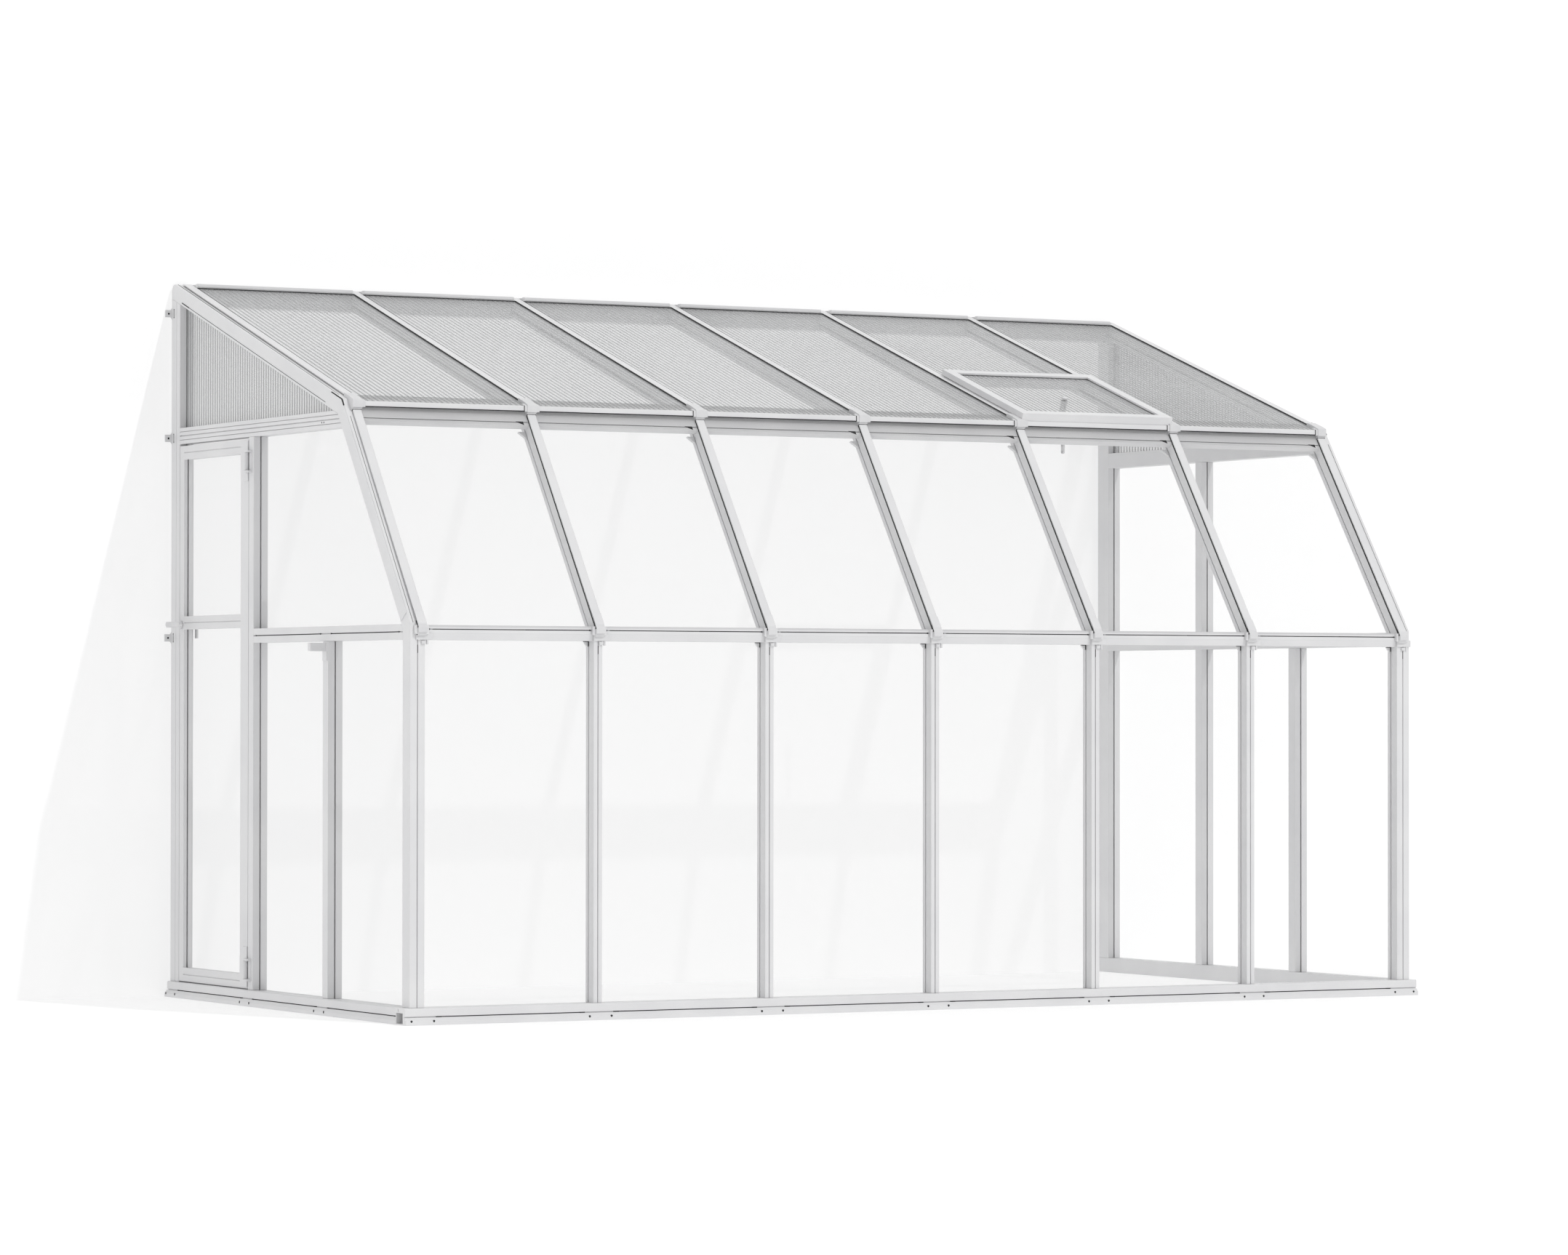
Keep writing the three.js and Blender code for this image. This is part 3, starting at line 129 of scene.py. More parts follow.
# A new material with its nodes, its links and its main shader.
def principled(name):
    material = bpy.data.materials.new(name)
    material.use_nodes = True
    tree = material.node_tree
    return material, tree.nodes, tree.links, tree.nodes["Principled BSDF"]


# Matt paper for floor and wall. The wall's back is clear, so that the part shows from behind.
def studioPaper(name, clearBack):
    material, tree, links, shader = principled(name)
    shader.inputs["Base Color"].default_value = studio["paperColour"]
    shader.inputs["Roughness"].default_value = studio["paperRough"]
    shader.inputs["Specular IOR Level"].default_value = 0.0
    shader.inputs["Emission Color"].default_value = (1, 1, 1, 1)
    shader.inputs["Emission Strength"].default_value = studio["paperGlow"]
    if clearBack:
        geometry = tree.new("ShaderNodeNewGeometry")
        clear = tree.new("ShaderNodeBsdfTransparent")
        mix = tree.new("ShaderNodeMixShader")
        links.new(geometry.outputs["Backfacing"], mix.inputs["Fac"])
        links.new(shader.outputs["BSDF"], mix.inputs[1])
        links.new(clear.outputs["BSDF"], mix.inputs[2])
        links.new(mix.outputs["Shader"], tree["Material Output"].inputs["Surface"])
    return material


# The sun's direction as a turn about Z and a tilt from straight down.
def setStudio():
    world = bpy.data.worlds.new("studio")
    scene.world = world
    world.use_nodes = True
    sky = world.node_tree.nodes["Background"]
    sky.inputs["Color"].default_value = studio["skyColour"]
    sky.inputs["Strength"].default_value = studio["skyStrength"]
    direction = np.array(studio["sunFrom"])
    yaw = math.atan2(direction[0], -direction[1])
    tilt = math.atan2(np.hypot(direction[0], direction[1]), direction[2])
    sunData = bpy.data.lights.new("sun", "SUN")
    sunData.energy = studio["sunStrength"]
    sunData.angle = math.radians(studio["sunWidth"])
    sun = bpy.data.objects.new("sun", sunData)
    sun.matrix_world = Matrix.Rotation(yaw, 4, "Z") @ Matrix.Rotation(tilt, 4, "X")
    scene.collection.objects.link(sun)
    half, back, top = studio["floorHalf"], studio["wallY"], studio["wallTall"]
    ground = [(-half, -half, 0), (half, -half, 0), (half, half, 0), (-half, half, 0)]
    addMesh("floor", ground, [(0, 1, 2, 3)], studioPaper("floorPaper", False))
    behind = [(-half, back, 0), (half, back, 0), (half, back, top), (-half, back, top)]
    addMesh("houseWall", behind, [(0, 1, 2, 3)], studioPaper("wallPaper", True))
    scene.view_settings.view_transform = "Standard"


setCamera()
setStudio()
print("camera, light, floor and house wall are set")


# Noise on the piece's own coordinates, at a scale in turns per metre.
def noiseInto(tree, links, coordinates, scale, detail, stretch=None):
    noise = tree.new("ShaderNodeTexNoise")
    noise.inputs["Scale"].default_value = scale
    noise.inputs["Detail"].default_value = detail
    source = coordinates.outputs["Object"]
    if stretch is not None:
        mapping = tree.new("ShaderNodeMapping")
        mapping.inputs["Scale"].default_value = stretch
        links.new(source, mapping.inputs["Vector"])
        source = mapping.outputs["Vector"]
    links.new(source, noise.inputs["Vector"])
    return noise


# A value spread from or to a span of two values.
def spreadValue(tree, links, value, side, span):
    spread = tree.new("ShaderNodeMapRange")
    for end, number in zip(("Min", "Max"), span):
        spread.inputs[f"{side} {end}"].default_value = number
    links.new(value, spread.inputs["Value"])
    return spread.outputs["Result"]


# Two colours by a factor; the first may be a value or another node's output.
def blendColours(tree, links, factor, first, second):
    colour = tree.new("ShaderNodeMix")
    colour.data_type = "RGBA"
    if isinstance(first, tuple):
        colour.inputs["A"].default_value = first
    else:
        links.new(first, colour.inputs["A"])
    colour.inputs["B"].default_value = second
    links.new(factor, colour.inputs["Factor"])
    return colour.outputs["Result"]


# The noise values between which a mottle and a speckle pass from one colour to the other.
mottleSpan, speckleSpan = (0.35, 0.65), (0.62, 0.75)


# White extruded plastic: a slow mottle, fine speckle, and roughness that drifts a little.
extruded = {
    "pale": (0.74, 0.74, 0.745, 1),
    "deep": (0.70, 0.70, 0.71, 1),
    "mottleScale": 5.0,
    "speckleScale": 700.0,
    "speckle": (0.66, 0.66, 0.67, 1),
    "rough": (0.34, 0.50),
    "bump": 0.00005,
    "gloss": 0.4,
}


def extrudedPlastic(name, values):
    material, tree, links, shader = principled(name)
    coordinates = tree.new("ShaderNodeTexCoord")
    mottle = noiseInto(tree, links, coordinates, values["mottleScale"], detail=4.0)
    speckle = noiseInto(tree, links, coordinates, values["speckleScale"], detail=1.0)
    spread = spreadValue(tree, links, mottle.outputs["Fac"], "From", mottleSpan)
    base = blendColours(tree, links, spread, values["deep"], values["pale"])
    dots = spreadValue(tree, links, speckle.outputs["Fac"], "From", speckleSpan)
    links.new(blendColours(tree, links, dots, base, values["speckle"]), shader.inputs["Base Color"])
    rough = spreadValue(tree, links, mottle.outputs["Fac"], "To", values["rough"])
    links.new(rough, shader.inputs["Roughness"])
    bump = tree.new("ShaderNodeBump")
    bump.inputs["Distance"].default_value = values["bump"]
    links.new(speckle.outputs["Fac"], bump.inputs["Height"])
    links.new(bump.outputs["Normal"], shader.inputs["Normal"])
    shader.inputs["Specular IOR Level"].default_value = values["gloss"]
    return material


# How much a sheet covers: one value to the eye and another to shadow rays.
def setCover(tree, links, seen, cast, target):
    rays = tree.new("ShaderNodeLightPath")
    choice = tree.new("ShaderNodeMix")
    choice.inputs["B"].default_value = cast
    links.new(seen, choice.inputs["A"])
    links.new(rays.outputs["Is Shadow Ray"], choice.inputs["Factor"])
    links.new(choice.outputs["Result"], target)


# Clear sheet: nearly nothing seen face on, and more white at a grazing angle as a painted
# reflection, with faint smears of haze.
clear = {
    "colour": (0.93, 0.93, 0.93, 1),
    "alpha": (0.003, 0.08),  # face on, at a grazing angle
    "haze": 0.003,
    "alphaShadow": 0.50,
    "hazeScale": 1.5,
    "hazeStretch": (1, 1, 0.3),
    "edgeBlend": 0.2,
    "roughness": 0.05,
    "gloss": 0.25,
}


def clearPane(name, values):
    material, tree, links, shader = principled(name)
    coordinates = tree.new("ShaderNodeTexCoord")
    scale, stretch = values["hazeScale"], values["hazeStretch"]
    smear = noiseInto(tree, links, coordinates, scale, detail=3.0, stretch=stretch)
    weight = tree.new("ShaderNodeLayerWeight")
    weight.inputs["Blend"].default_value = values["edgeBlend"]
    alpha = spreadValue(tree, links, weight.outputs["Fresnel"], "To", values["alpha"])
    haze = tree.new("ShaderNodeMath")
    haze.operation = "MULTIPLY_ADD"
    haze.inputs[1].default_value = values["haze"]
    links.new(smear.outputs["Fac"], haze.inputs[0])
    links.new(alpha, haze.inputs[2])
    setCover(tree, links, haze.outputs["Value"], values["alphaShadow"], shader.inputs["Alpha"])
    shader.inputs["Base Color"].default_value = values["colour"]
    shader.inputs["Roughness"].default_value = values["roughness"]
    shader.inputs["Specular IOR Level"].default_value = values["gloss"]
    return material


# Twin-wall skin and webs: milky, half clear, with a slow drift in how milky they are.
hollow = {
    "pale": (0.74, 0.745, 0.75, 1),
    "deep": (0.67, 0.675, 0.68, 1),
    "alpha": (0.14, 0.21),
    "alphaShadow": 0.24,
    "driftScale": 1.3,
    "roughness": 0.2,
    "gloss": 0.3,
}
# The webs are darker than the skins: painted shade for the shaded cells of the sheet.
hollowWeb = {
    "pale": (0.52, 0.525, 0.53, 1),
    "deep": (0.46, 0.465, 0.47, 1),
    "alpha": (0.48, 0.58),
    "alphaShadow": 0.30,
    "driftScale": 2.0,
    "roughness": 0.3,
    "gloss": 0.3,
}


def hollowSheet(name, values):
    material, tree, links, shader = principled(name)
    coordinates = tree.new("ShaderNodeTexCoord")
    drift = noiseInto(tree, links, coordinates, values["driftScale"], detail=3.0)
    spread = spreadValue(tree, links, drift.outputs["Fac"], "From", mottleSpan)
    colour = blendColours(tree, links, spread, values["deep"], values["pale"])
    links.new(colour, shader.inputs["Base Color"])
    alpha = spreadValue(tree, links, drift.outputs["Fac"], "To", values["alpha"])
    setCover(tree, links, alpha, values["alphaShadow"], shader.inputs["Alpha"])
    shader.inputs["Roughness"].default_value = values["roughness"]
    shader.inputs["Specular IOR Level"].default_value = values["gloss"]
    return material


# Moulded fittings: the same white, a little greyer, with a coarser grain.
moulded = {
    "pale": (0.70, 0.70, 0.705, 1),
    "deep": (0.66, 0.66, 0.67, 1),
    "mottleScale": 18.0,
    "speckleScale": 1100.0,
    "speckle": (0.61, 0.61, 0.62, 1),
    "rough": (0.42, 0.6),
    "bump": 0.00008,
    "gloss": 0.35,
}
# Soft black for the ridge's foam seal, and for painted shade in grooves, slits and gaps, and in
# the screw holes and slots.
sealAndShade = {
    "pale": (0.045, 0.045, 0.047, 1),
    "deep": (0.025, 0.025, 0.026, 1),
    "mottleScale": 30.0,
    "speckleScale": 900.0,
    "speckle": (0.06, 0.06, 0.062, 1),
    "rough": (0.6, 0.8),
    "bump": 0.0001,
    "gloss": 0.2,
}
white = extrudedPlastic("whiteExtrusion", extruded)
fitting = extrudedPlastic("mouldedFitting", moulded)
black = extrudedPlastic("blackSealAndShade", sealAndShade)
pane = clearPane("clearPane", clear)
sheet = hollowSheet("hollowSheet", hollow)
web = hollowSheet("hollowWeb", hollowWeb)
finishes = {"white_frame": white, "clear_sheet": pane, "twin_wall": sheet, "fittings": fitting}
for node, slot in slotOf.items():
    nodes[node].data.materials.clear()
    nodes[node].data.materials.append(finishes[slot])
print("materials are on the CAD nodes")

# Each CAD member's edges rounded off: the same faces, with a small radius between them.
softened = {
    "edge": 0.0009,
    "segments": 2,
    "sharpOver": 30.0,  # degrees
    "flatWithin": 0.3,
    "sameWithin": 2e-6,
    "headroom": 0.0011,  # kept free under the part's top, since the rounded edge bulges a little
}
rebuilt = ("eave_rail", "front_mid_rail")  # pieces further on take these members' places


def soften(node):
    shape = bmesh.new()
    shape.from_mesh(nodes[node].data)
    bmesh.ops.remove_doubles(shape, verts=shape.verts, dist=softened["sameWithin"])
    flat = math.radians(softened["flatWithin"])
    bmesh.ops.dissolve_limit(shape, angle_limit=flat, verts=shape.verts, edges=shape.edges)
    mesh = bpy.data.meshes.new(node + "Soft")
    shape.to_mesh(mesh)
    shape.free()
    corners = np.empty(len(mesh.vertices) * 3)
    mesh.vertices.foreach_get("co", corners)
    corners[2::3] = np.minimum(corners[2::3], cadHigh[2] - softened["headroom"])
    mesh.vertices.foreach_set("co", corners)
    mesh.shade_smooth()
    mesh.set_sharp_from_angle(angle=math.radians(softened["sharpOver"]))
    mesh.materials.append(finishes[slotOf[node]])
    piece = bpy.data.objects.new(node + "Soft", mesh)
    scene.collection.objects.link(piece)
    bevel = piece.modifiers.new("softEdge", "BEVEL")
    bevel.width = softened["edge"]
    bevel.segments = softened["segments"]
    bevel.limit_method = "ANGLE"
    bevel.angle_limit = math.radians(softened["sharpOver"])
    bevel.use_clamp_overlap = False
    bevel.loop_slide = False
    bevel.harden_normals = True
    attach(piece, bodyOf[node])
    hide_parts(node)


for node, slot in slotOf.items():
    if slot in ("white_frame", "fittings") and node not in rebuilt:
        soften(node)
print("the frame members' edges are softened")


# The bent line of every rib, in metres: Y and Z of its two bends, and how it is set out.
bent = {
    "bayPitch": 0.625,
    "bayCount": 6,
    "lowKnee": (0.0, 1.2615),
    "highKnee": (0.516, 1.988),
    "roofPitch": 18.4,  # degrees
    "halfPost": 0.0155,
    "seat": 0.002,  # how far a rail's lengths reach into the ribs
    "endReach": 0.036,
    "sheetThick": 0.004,
    "wall": 1.934,
    "wallPostFront": 1.861,
    "baseTop": 0.0535,
}
bayLines = (np.arange(bent["bayCount"] + 1) - bent["bayCount"] / 2) * bent["bayPitch"]
lowKnee, highKnee = np.array(bent["lowKnee"]), np.array(bent["highKnee"])
slopeLength = float(np.linalg.norm(highKnee - lowKnee))
slopeAlong = (highKnee - lowKnee) / slopeLength
slopeIn = np.array((slopeAlong[1], -slopeAlong[0]))
roofTilt = math.radians(bent["roofPitch"])
roofAlong = np.array((math.cos(roofTilt), math.sin(roofTilt)))
roofIn = np.array((roofAlong[1], -roofAlong[0]))
upX, upY, upZ = np.eye(3)
slopeAlong3, slopeIn3 = np.array((0, *slopeAlong)), np.array((0, *slopeIn))
roofAlong3, roofIn3 = np.array((0, *roofAlong)), np.array((0, *roofIn))


# A point of the slanted face in Y and Z: the low knee, plus a distance up and a depth in.
def slope2(distance, depth):
    return lowKnee + distance * slopeAlong + depth * slopeIn


# The same, with the distance measured down from the high knee.
def down2(distance, depth):
    return slope2(slopeLength - distance, depth)


# A point of the roof in Y and Z: the high knee, plus a distance up and a depth in.
def roof2(distance, depth):
    return highKnee + distance * roofAlong + depth * roofIn


def onSlope(x, distance, depth):
    return np.array((x, *slope2(distance, depth)))


def onRoof(x, distance, depth):
    return np.array((x, *roof2(distance, depth)))


def spot(x, y, z):
    return np.array((x, y, z), float)


# The distance up the roof at which it is so far in front of a plane along the wall.
def roofTo(plane, before):
    return (plane - before - highKnee[0]) / roofAlong[0]


# The six bays, each from one bay line to the next.
bays = list(zip(bayLines[:-1], bayLines[1:]))


# Many straight bars at once: each is its centre line, plus or minus half its width and height.
def bars(rows):
    starts, ends, widths, heights = (np.array(part, float) for part in zip(*rows))
    signs = np.array([(-1, -1), (1, -1), (1, 1), (-1, 1)]) / 2
    offsets = signs[None, :, :1] * widths[:, None] + signs[None, :, 1:] * heights[:, None]
    corners = np.concatenate([starts[:, None] + offsets, ends[:, None] + offsets], axis=1)
    faces = np.array(
        [(0, 1, 2, 3), (7, 6, 5, 4), (0, 4, 5, 1), (1, 5, 6, 2), (2, 6, 7, 3), (3, 7, 4, 0)]
    )
    inward = np.einsum("ij,ij->i", np.cross(widths, heights), ends - starts) > 0
    turned = np.where(inward[:, None, None], faces[None, :, ::-1], faces[None])
    index = np.arange(len(rows))[:, None, None] * 8
    return corners.reshape(-1, 3), (turned + index).reshape(-1, 4).tolist()


# Rings joined by quads and closed at both ends, turned outwards where their volume is negative.
def carry(rings):
    rings = np.asarray(rings, float)
    levels, count = rings.shape[:2]
    here = np.arange(count)
    after = (here + 1) % count
    ring = np.stack([here, after, after + count, here + count], axis=-1)
    sides = (ring + (np.arange(levels - 1) * count)[:, None, None]).reshape(-1, 4)
    caps = [here[::-1], here + (levels - 1) * count]
    fans = [np.column_stack([np.full(count - 2, cap[0]), cap[1:-1], cap[2:]]) for cap in caps]
    thirds = np.concatenate([sides[:, [0, 1, 2]], sides[:, [0, 2, 3]], *fans])
    corners = rings.reshape(-1, 3)
    one, two, three = np.moveaxis((corners - corners.mean(axis=0))[thirds], 1, 0)
    faces = sides.tolist() + [cap.tolist() for cap in caps]
    if np.einsum("ij,ij->", np.cross(two, three), one) < 0:
        faces = [face[::-1] for face in faces]
    return corners, faces


# A flat outline in space, carried through its thickness.
def plate(outline, through):
    flat = np.array(outline)
    return carry([flat, flat + through])


# Round discs: a ring of points about each centre, carried along its axis.
def discs(rows, segments=16, nearlyUp=0.7):
    turn = np.arange(segments)[:, None] * 2 * math.pi / segments
    shapes = []
    for centre, axis, radius in rows:
        length = np.linalg.norm(axis)
        first = np.cross(axis, upX if abs(axis[2]) > nearlyUp * length else upZ)
        first /= np.linalg.norm(first)
        ring = np.cos(turn) * first + np.sin(turn) * np.cross(axis / length, first)
        shapes.append(plate(centre + ring * radius, axis))
    return together(shapes)


# Several shapes as one mesh, their faces' numbers moved on.
def together(shapes):
    corners, faces, start = [], [], 0
    for points, around in shapes:
        corners.append(points)
        faces += [[corner + start for corner in face] for face in around]
        start += len(points)
    return np.concatenate(corners), faces


# A piece made of several shapes, with one material, riding on a body.
def fitPiece(name, shapes, material, smoothUpTo=35, body="shell"):
    corners, faces = together(shapes)
    piece = addMesh(name, corners, faces, material, smoothUpTo)
    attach(piece, body)
    return piece


# Painted shadow on the ribs: a thin black bar on each side of every cap, for the shadow in the gap
# under its edge, and a black slit of painted shade down each post's front that ends bold. The outer
# side of the two end ribs has none. A bar's values are its start, how far it stops short, its step
# out from the cap's side, and its depth, width and height.
ribShadow = {
    "slope": (-0.012, 0.050, -0.0010, -0.0016, 0.0026, 0.0056),
    "roof": (0.004, 0.021, 0.0004, -0.0048, 0.0022, 0.0052),
    "slitOut": 0.0034, "slitEndShift": 0.010, "slitFoot": 0.002, "slitTop": 1.192,
    "slitDepth": 0.0034,
    "thin": (0.0018, 0.002),
    "bold": (0.0050, 0.003), "boldLength": 0.026, "boldProud": 0.001,
}


def ribShadowLines():
    rows = []
    foot, top = bent["baseTop"] + ribShadow["slitFoot"], ribShadow["slitTop"]
    middle, y = top - ribShadow["boldLength"], ribShadow["slitDepth"]
    thin, bold = ((upX * wide, upY * deep) for wide, deep in (ribShadow["thin"], ribShadow["bold"]))
    slopeEnd = slopeLength - ribShadow["slope"][1]
    roofEnd = roofTo(bent["wallPostFront"], ribShadow["roof"][1])
    lines = (
        (onSlope, slopeEnd, slopeIn3, ribShadow["slope"]),
        (onRoof, roofEnd, roofIn3, ribShadow["roof"]),
    )
    for number, x in enumerate(bayLines):
        outer = int(number == bent["bayCount"]) - int(number == 0)
        for turn in (-1, 1):
            if turn == outer:
                continue
            for place, end, inward, (start, short, out, depth, wide, tall) in lines:
                at = x + turn * (bent["halfPost"] + out)
                line = place(at, start, depth), place(at, end, depth)
                rows.append((*line, upX * wide, inward * tall))
        slitX = x + ribShadow["slitOut"] + ribShadow["slitEndShift"] * outer
        rows.append((spot(slitX, y, foot), spot(slitX, y, middle), *thin))
        front = y - ribShadow["boldProud"]
        rows.append((spot(slitX, front, middle), spot(slitX, front, top), *bold))
    return bars(rows)


# The outer flange of the two end ribs has a seam near its edge and a slit near its back, both
# drawn as black lines of painted shade.
flangeShade = {
    "fromEdge": 0.0100,
    "proud": 0.0001,
    "wide": 0.0012,
    "deep": 0.0006,
    "slopeShort": 0.070,
    "roofFrom": 0.050, "roofShort": 0.030,
    "slitDepth": 0.046, "slitThick": 0.0008,
    "slits": ((0.070, 1.32, 0.0016), (1.32, 1.385, 0.0036), (0.070, 0.100, 0.0036)),
}


def flangeShadeLines():
    rows = []
    reach, proud = bayLines[-1] + bent["endReach"], flangeShade["proud"]
    slopeTop = slopeLength - flangeShade["slopeShort"]
    roofTop = roofTo(bent["wall"], flangeShade["roofShort"])
    wide, deep, slitDepth = upX * flangeShade["wide"], flangeShade["deep"], flangeShade["slitDepth"]
    for side in (-1, 1):
        x = side * (reach - flangeShade["fromEdge"])
        start = onSlope(x, 0.0, -proud)
        rows.append((start, onSlope(x, slopeTop, -proud), wide, slopeIn3 * deep))
        start = onRoof(x, flangeShade["roofFrom"], -proud)
        rows.append((start, onRoof(x, roofTop, -proud), wide, roofIn3 * deep))
        x = side * (reach + proud)
        for low, high, tall in flangeShade["slits"]:
            start, end = onRoof(x, low, slitDepth), onRoof(x, high, slitDepth)
            rows.append((start, end, roofIn3 * tall, upX * flangeShade["slitThick"]))
    return bars(rows)


# Painted shade in the rails' slits, as black strips: the mid rail's is thin and then bold, the
# base's has a stub at each end, and a dark dot of painted shade closes each end of the mid rail's
# slit.
slitShade = {
    "slitTall": 0.0024, "slitDeep": 0.0034,
    "stripDeep": 0.0020,
    "midSlitZ": 1.241, "midInset": 0.030,
    "thinFrom": 0.014, "thinDepth": 0.001, "thinTall": 0.0013, "thinShare": 0.60,
    "dotRadius": 0.0027, "dotY": 0.003, "dotLong": 0.0034,
    "eaveDown": 0.075, "eaveInset": 0.004, "eaveTall": 0.0022, "eaveDeep": 0.002,
    "baseZ": 0.0255, "baseOut": 0.0085, "baseInset": 0.052,
    "stubOut": 0.0022, "stubThick": 0.0032, "stubLong": 0.018,
    "sideStubLong": 0.014,
}


def railSlitShade():
    rows, dots = [], []
    bold = upY * slitShade["stripDeep"], upZ * slitShade["slitTall"]
    thin = upY * slitShade["stripDeep"], upZ * slitShade["thinTall"]
    stub = upY * slitShade["stubThick"], upZ * slitShade["stubThick"]
    for left, right in bays:
        low, high = left + slitShade["midInset"], right - slitShade["midInset"]
        z, y = slitShade["midSlitZ"], slitShade["slitDeep"]
        split = low + slitShade["thinShare"] * (high - low)
        back = y + slitShade["thinDepth"]
        rows.append((spot(low + slitShade["thinFrom"], back, z), spot(split, back, z), *thin))
        rows.append((spot(split, y, z), spot(high, y, z), *bold))
        for x in (low, high):
            dots.append((spot(x, slitShade["dotY"], z), -upY * slitShade["dotLong"], slitShade["dotRadius"]))
        edge, up = bent["halfPost"] + slitShade["eaveInset"], slopeLength - slitShade["eaveDown"]
        start, end = (onSlope(x, up, slitShade["slitDeep"]) for x in (left + edge, right - edge))
        rows.append((start, end, slopeAlong3 * slitShade["eaveTall"], slopeIn3 * slitShade["eaveDeep"]))
        low, high = left + slitShade["baseInset"], right - slitShade["baseInset"]
        z, y = slitShade["baseZ"], -slitShade["baseOut"]
        rows.append((spot(low, y, z), spot(high, y, z), *bold))
        y -= slitShade["stubOut"]
        for x, turn in ((low, 1), (high, -1)):
            rows.append((spot(x, y, z), spot(x + turn * slitShade["stubLong"], y, z), *stub))
    return [bars(rows), discs(dots)]


# The black lines below are painted shadow and shade, not parts of their own.
fitPiece("capShadowLines", [ribShadowLines()], black)
fitPiece("flangeShadeLines", [flangeShadeLines()], black)
fitPiece("railSlitShade", railSlitShade(), black)
print("seals are in")


# The ends' marks, black painted shade in each hollow: screw holes in the base, slits in base and
# side rail with a dot or a stub at each end, two dots on the header, a hole and a round-ended slot
# at each wall tab, and a groove.
ends = {
    "flare": 0.022,
    "baseHoleZ": 0.012, "baseHoleSpread": 0.039, "baseHoleRadius": 0.0044,
    "baseHoleLong": 0.0005, "baseHoleSunk": 0.0003,
    "frontHoleSunk": 0.0006,
    "holeCentres": (0.6435, 1.2465, 1.8815),
    "wallClear": 0.01,
    "baseSpans": ((0.075, 0.600), (0.688, 1.205), (1.290, 1.840)),
    "sideRailZ": 1.233, "sideSlitSpans": ((0.085, 0.600), (0.685, 1.205)),
    "headerDotsZ": 1.918, "headerDots": (0.660, 0.676), "headerDotSunk": 0.0008,
    "headerDotLong": 0.0012,
    "tabHeights": (1.233, 1.920, 2.3496), "tabHoleOut": 0.049, "tabHoleRadius": 0.0034,
    "tabHoleBefore": 0.0042, "tabHoleLong": 0.0028,
    "slotY": 1.9145, "slotTall": 0.027, "slotOut": 0.00015, "slotThick": 0.0007,
    "slotWide": 0.0022, "slotEndSunk": 0.0004, "slotEndLong": 0.0009, "slotEndRadius": 0.0024,
    "grooveY": 1.89225, "grooveOut": 0.001, "grooveFoot": 0.056, "grooveTop": 2.38,
    "grooveThick": 0.002, "grooveWide": 0.0013,
}


def endShadeMarks(side):
    rows, dots = [], []
    face = side * (bayLines[-1] + bent["endReach"])
    inside = face - side * slitShade["slitDeep"]
    strip = upX * slitShade["stripDeep"], upZ * slitShade["slitTall"]
    stub = upX * slitShade["stubThick"], upZ * slitShade["stubThick"]
    x = face + side * (ends["flare"] - ends["baseHoleSunk"])
    through = side * upX * ends["baseHoleLong"]
    for centre in ends["holeCentres"]:
        for y in (centre - ends["baseHoleSpread"], centre + ends["baseHoleSpread"]):
            if y < bent["wall"] - ends["wallClear"]:
                dots.append((spot(x, y, ends["baseHoleZ"]), through, ends["baseHoleRadius"]))
    baseX, z = face + side * slitShade["baseOut"], slitShade["baseZ"]
    for low, high in ends["baseSpans"]:
        rows.append((spot(baseX, low, z), spot(baseX, high, z), *strip))
        x = baseX + side * slitShade["stubOut"]
        for y, turn in ((low, 1), (high, -1)):
            rows.append((spot(x, y, z), spot(x, y + turn * slitShade["sideStubLong"], z), *stub))
    z = ends["sideRailZ"]
    for low, high in ends["sideSlitSpans"]:
        rows.append((spot(inside, low, z), spot(inside, high, z), *strip))
        for y in (low, high):
            at = spot(face - side * slitShade["dotY"], y, z)
            dots.append((at, side * upX * slitShade["dotLong"], slitShade["dotRadius"]))
    for y in ends["headerDots"]:
        at = spot(face - side * ends["headerDotSunk"], y, ends["headerDotsZ"])
        dots.append((at, side * upX * ends["headerDotLong"], slitShade["dotRadius"]))
    for z in ends["tabHeights"]:
        x = face + side * (ends["tabHoleOut"] - bent["endReach"])
        at = spot(x, bent["wall"] - ends["tabHoleBefore"], z)
        dots.append((at, upY * ends["tabHoleLong"], ends["tabHoleRadius"]))
        x, half = face + side * ends["slotOut"], ends["slotTall"] / 2
        low, high = spot(x, ends["slotY"], z - half), spot(x, ends["slotY"], z + half)
        rows.append((low, high, upX * ends["slotThick"], upY * ends["slotWide"]))
        for at in (low, high):
            sunk, long = side * upX * ends["slotEndSunk"], side * upX * ends["slotEndLong"]
            dots.append((at - sunk, long, ends["slotEndRadius"]))
    x, y = inside + side * ends["grooveOut"], ends["grooveY"]
    low, high = spot(x, y, ends["grooveFoot"]), spot(x, y, ends["grooveTop"])
    rows.append((low, high, upX * ends["grooveThick"], upY * ends["grooveWide"]))
    return [bars(rows), discs(dots)]


# The same holes along the front, in a pair about each bay line, as black discs of painted shade.
def frontHoleShade():
    rows = []
    y, z = -ends["flare"] + ends["frontHoleSunk"], ends["baseHoleZ"]
    for x in bayLines:
        for turn in (-1, 1):
            at = spot(x + turn * ends["baseHoleSpread"], y, z)
            rows.append((at, -upY * ends["baseHoleLong"], ends["baseHoleRadius"]))
    return discs(rows)


fitPiece("endShadeMarksLeft", endShadeMarks(-1), black)
fitPiece("endShadeMarksRight", endShadeMarks(1), black)
fitPiece("frontHoleShade", [frontHoleShade()], black)
print("holes, slots and slit strips are in")


# Twin-wall sheets: two skins and a web at every pitch, as thin plates between two levels.
twinWall = {
    "webPitch": 0.0195, "web": 0.0030, "webShort": 0.0002,
    "skin": 0.0006,
    "roofDepth": -0.0043, "roofFront": -0.036,
    "ventDepth": -0.0230, "ventBay": 5,
    "pointWithin": 1e-4,
}


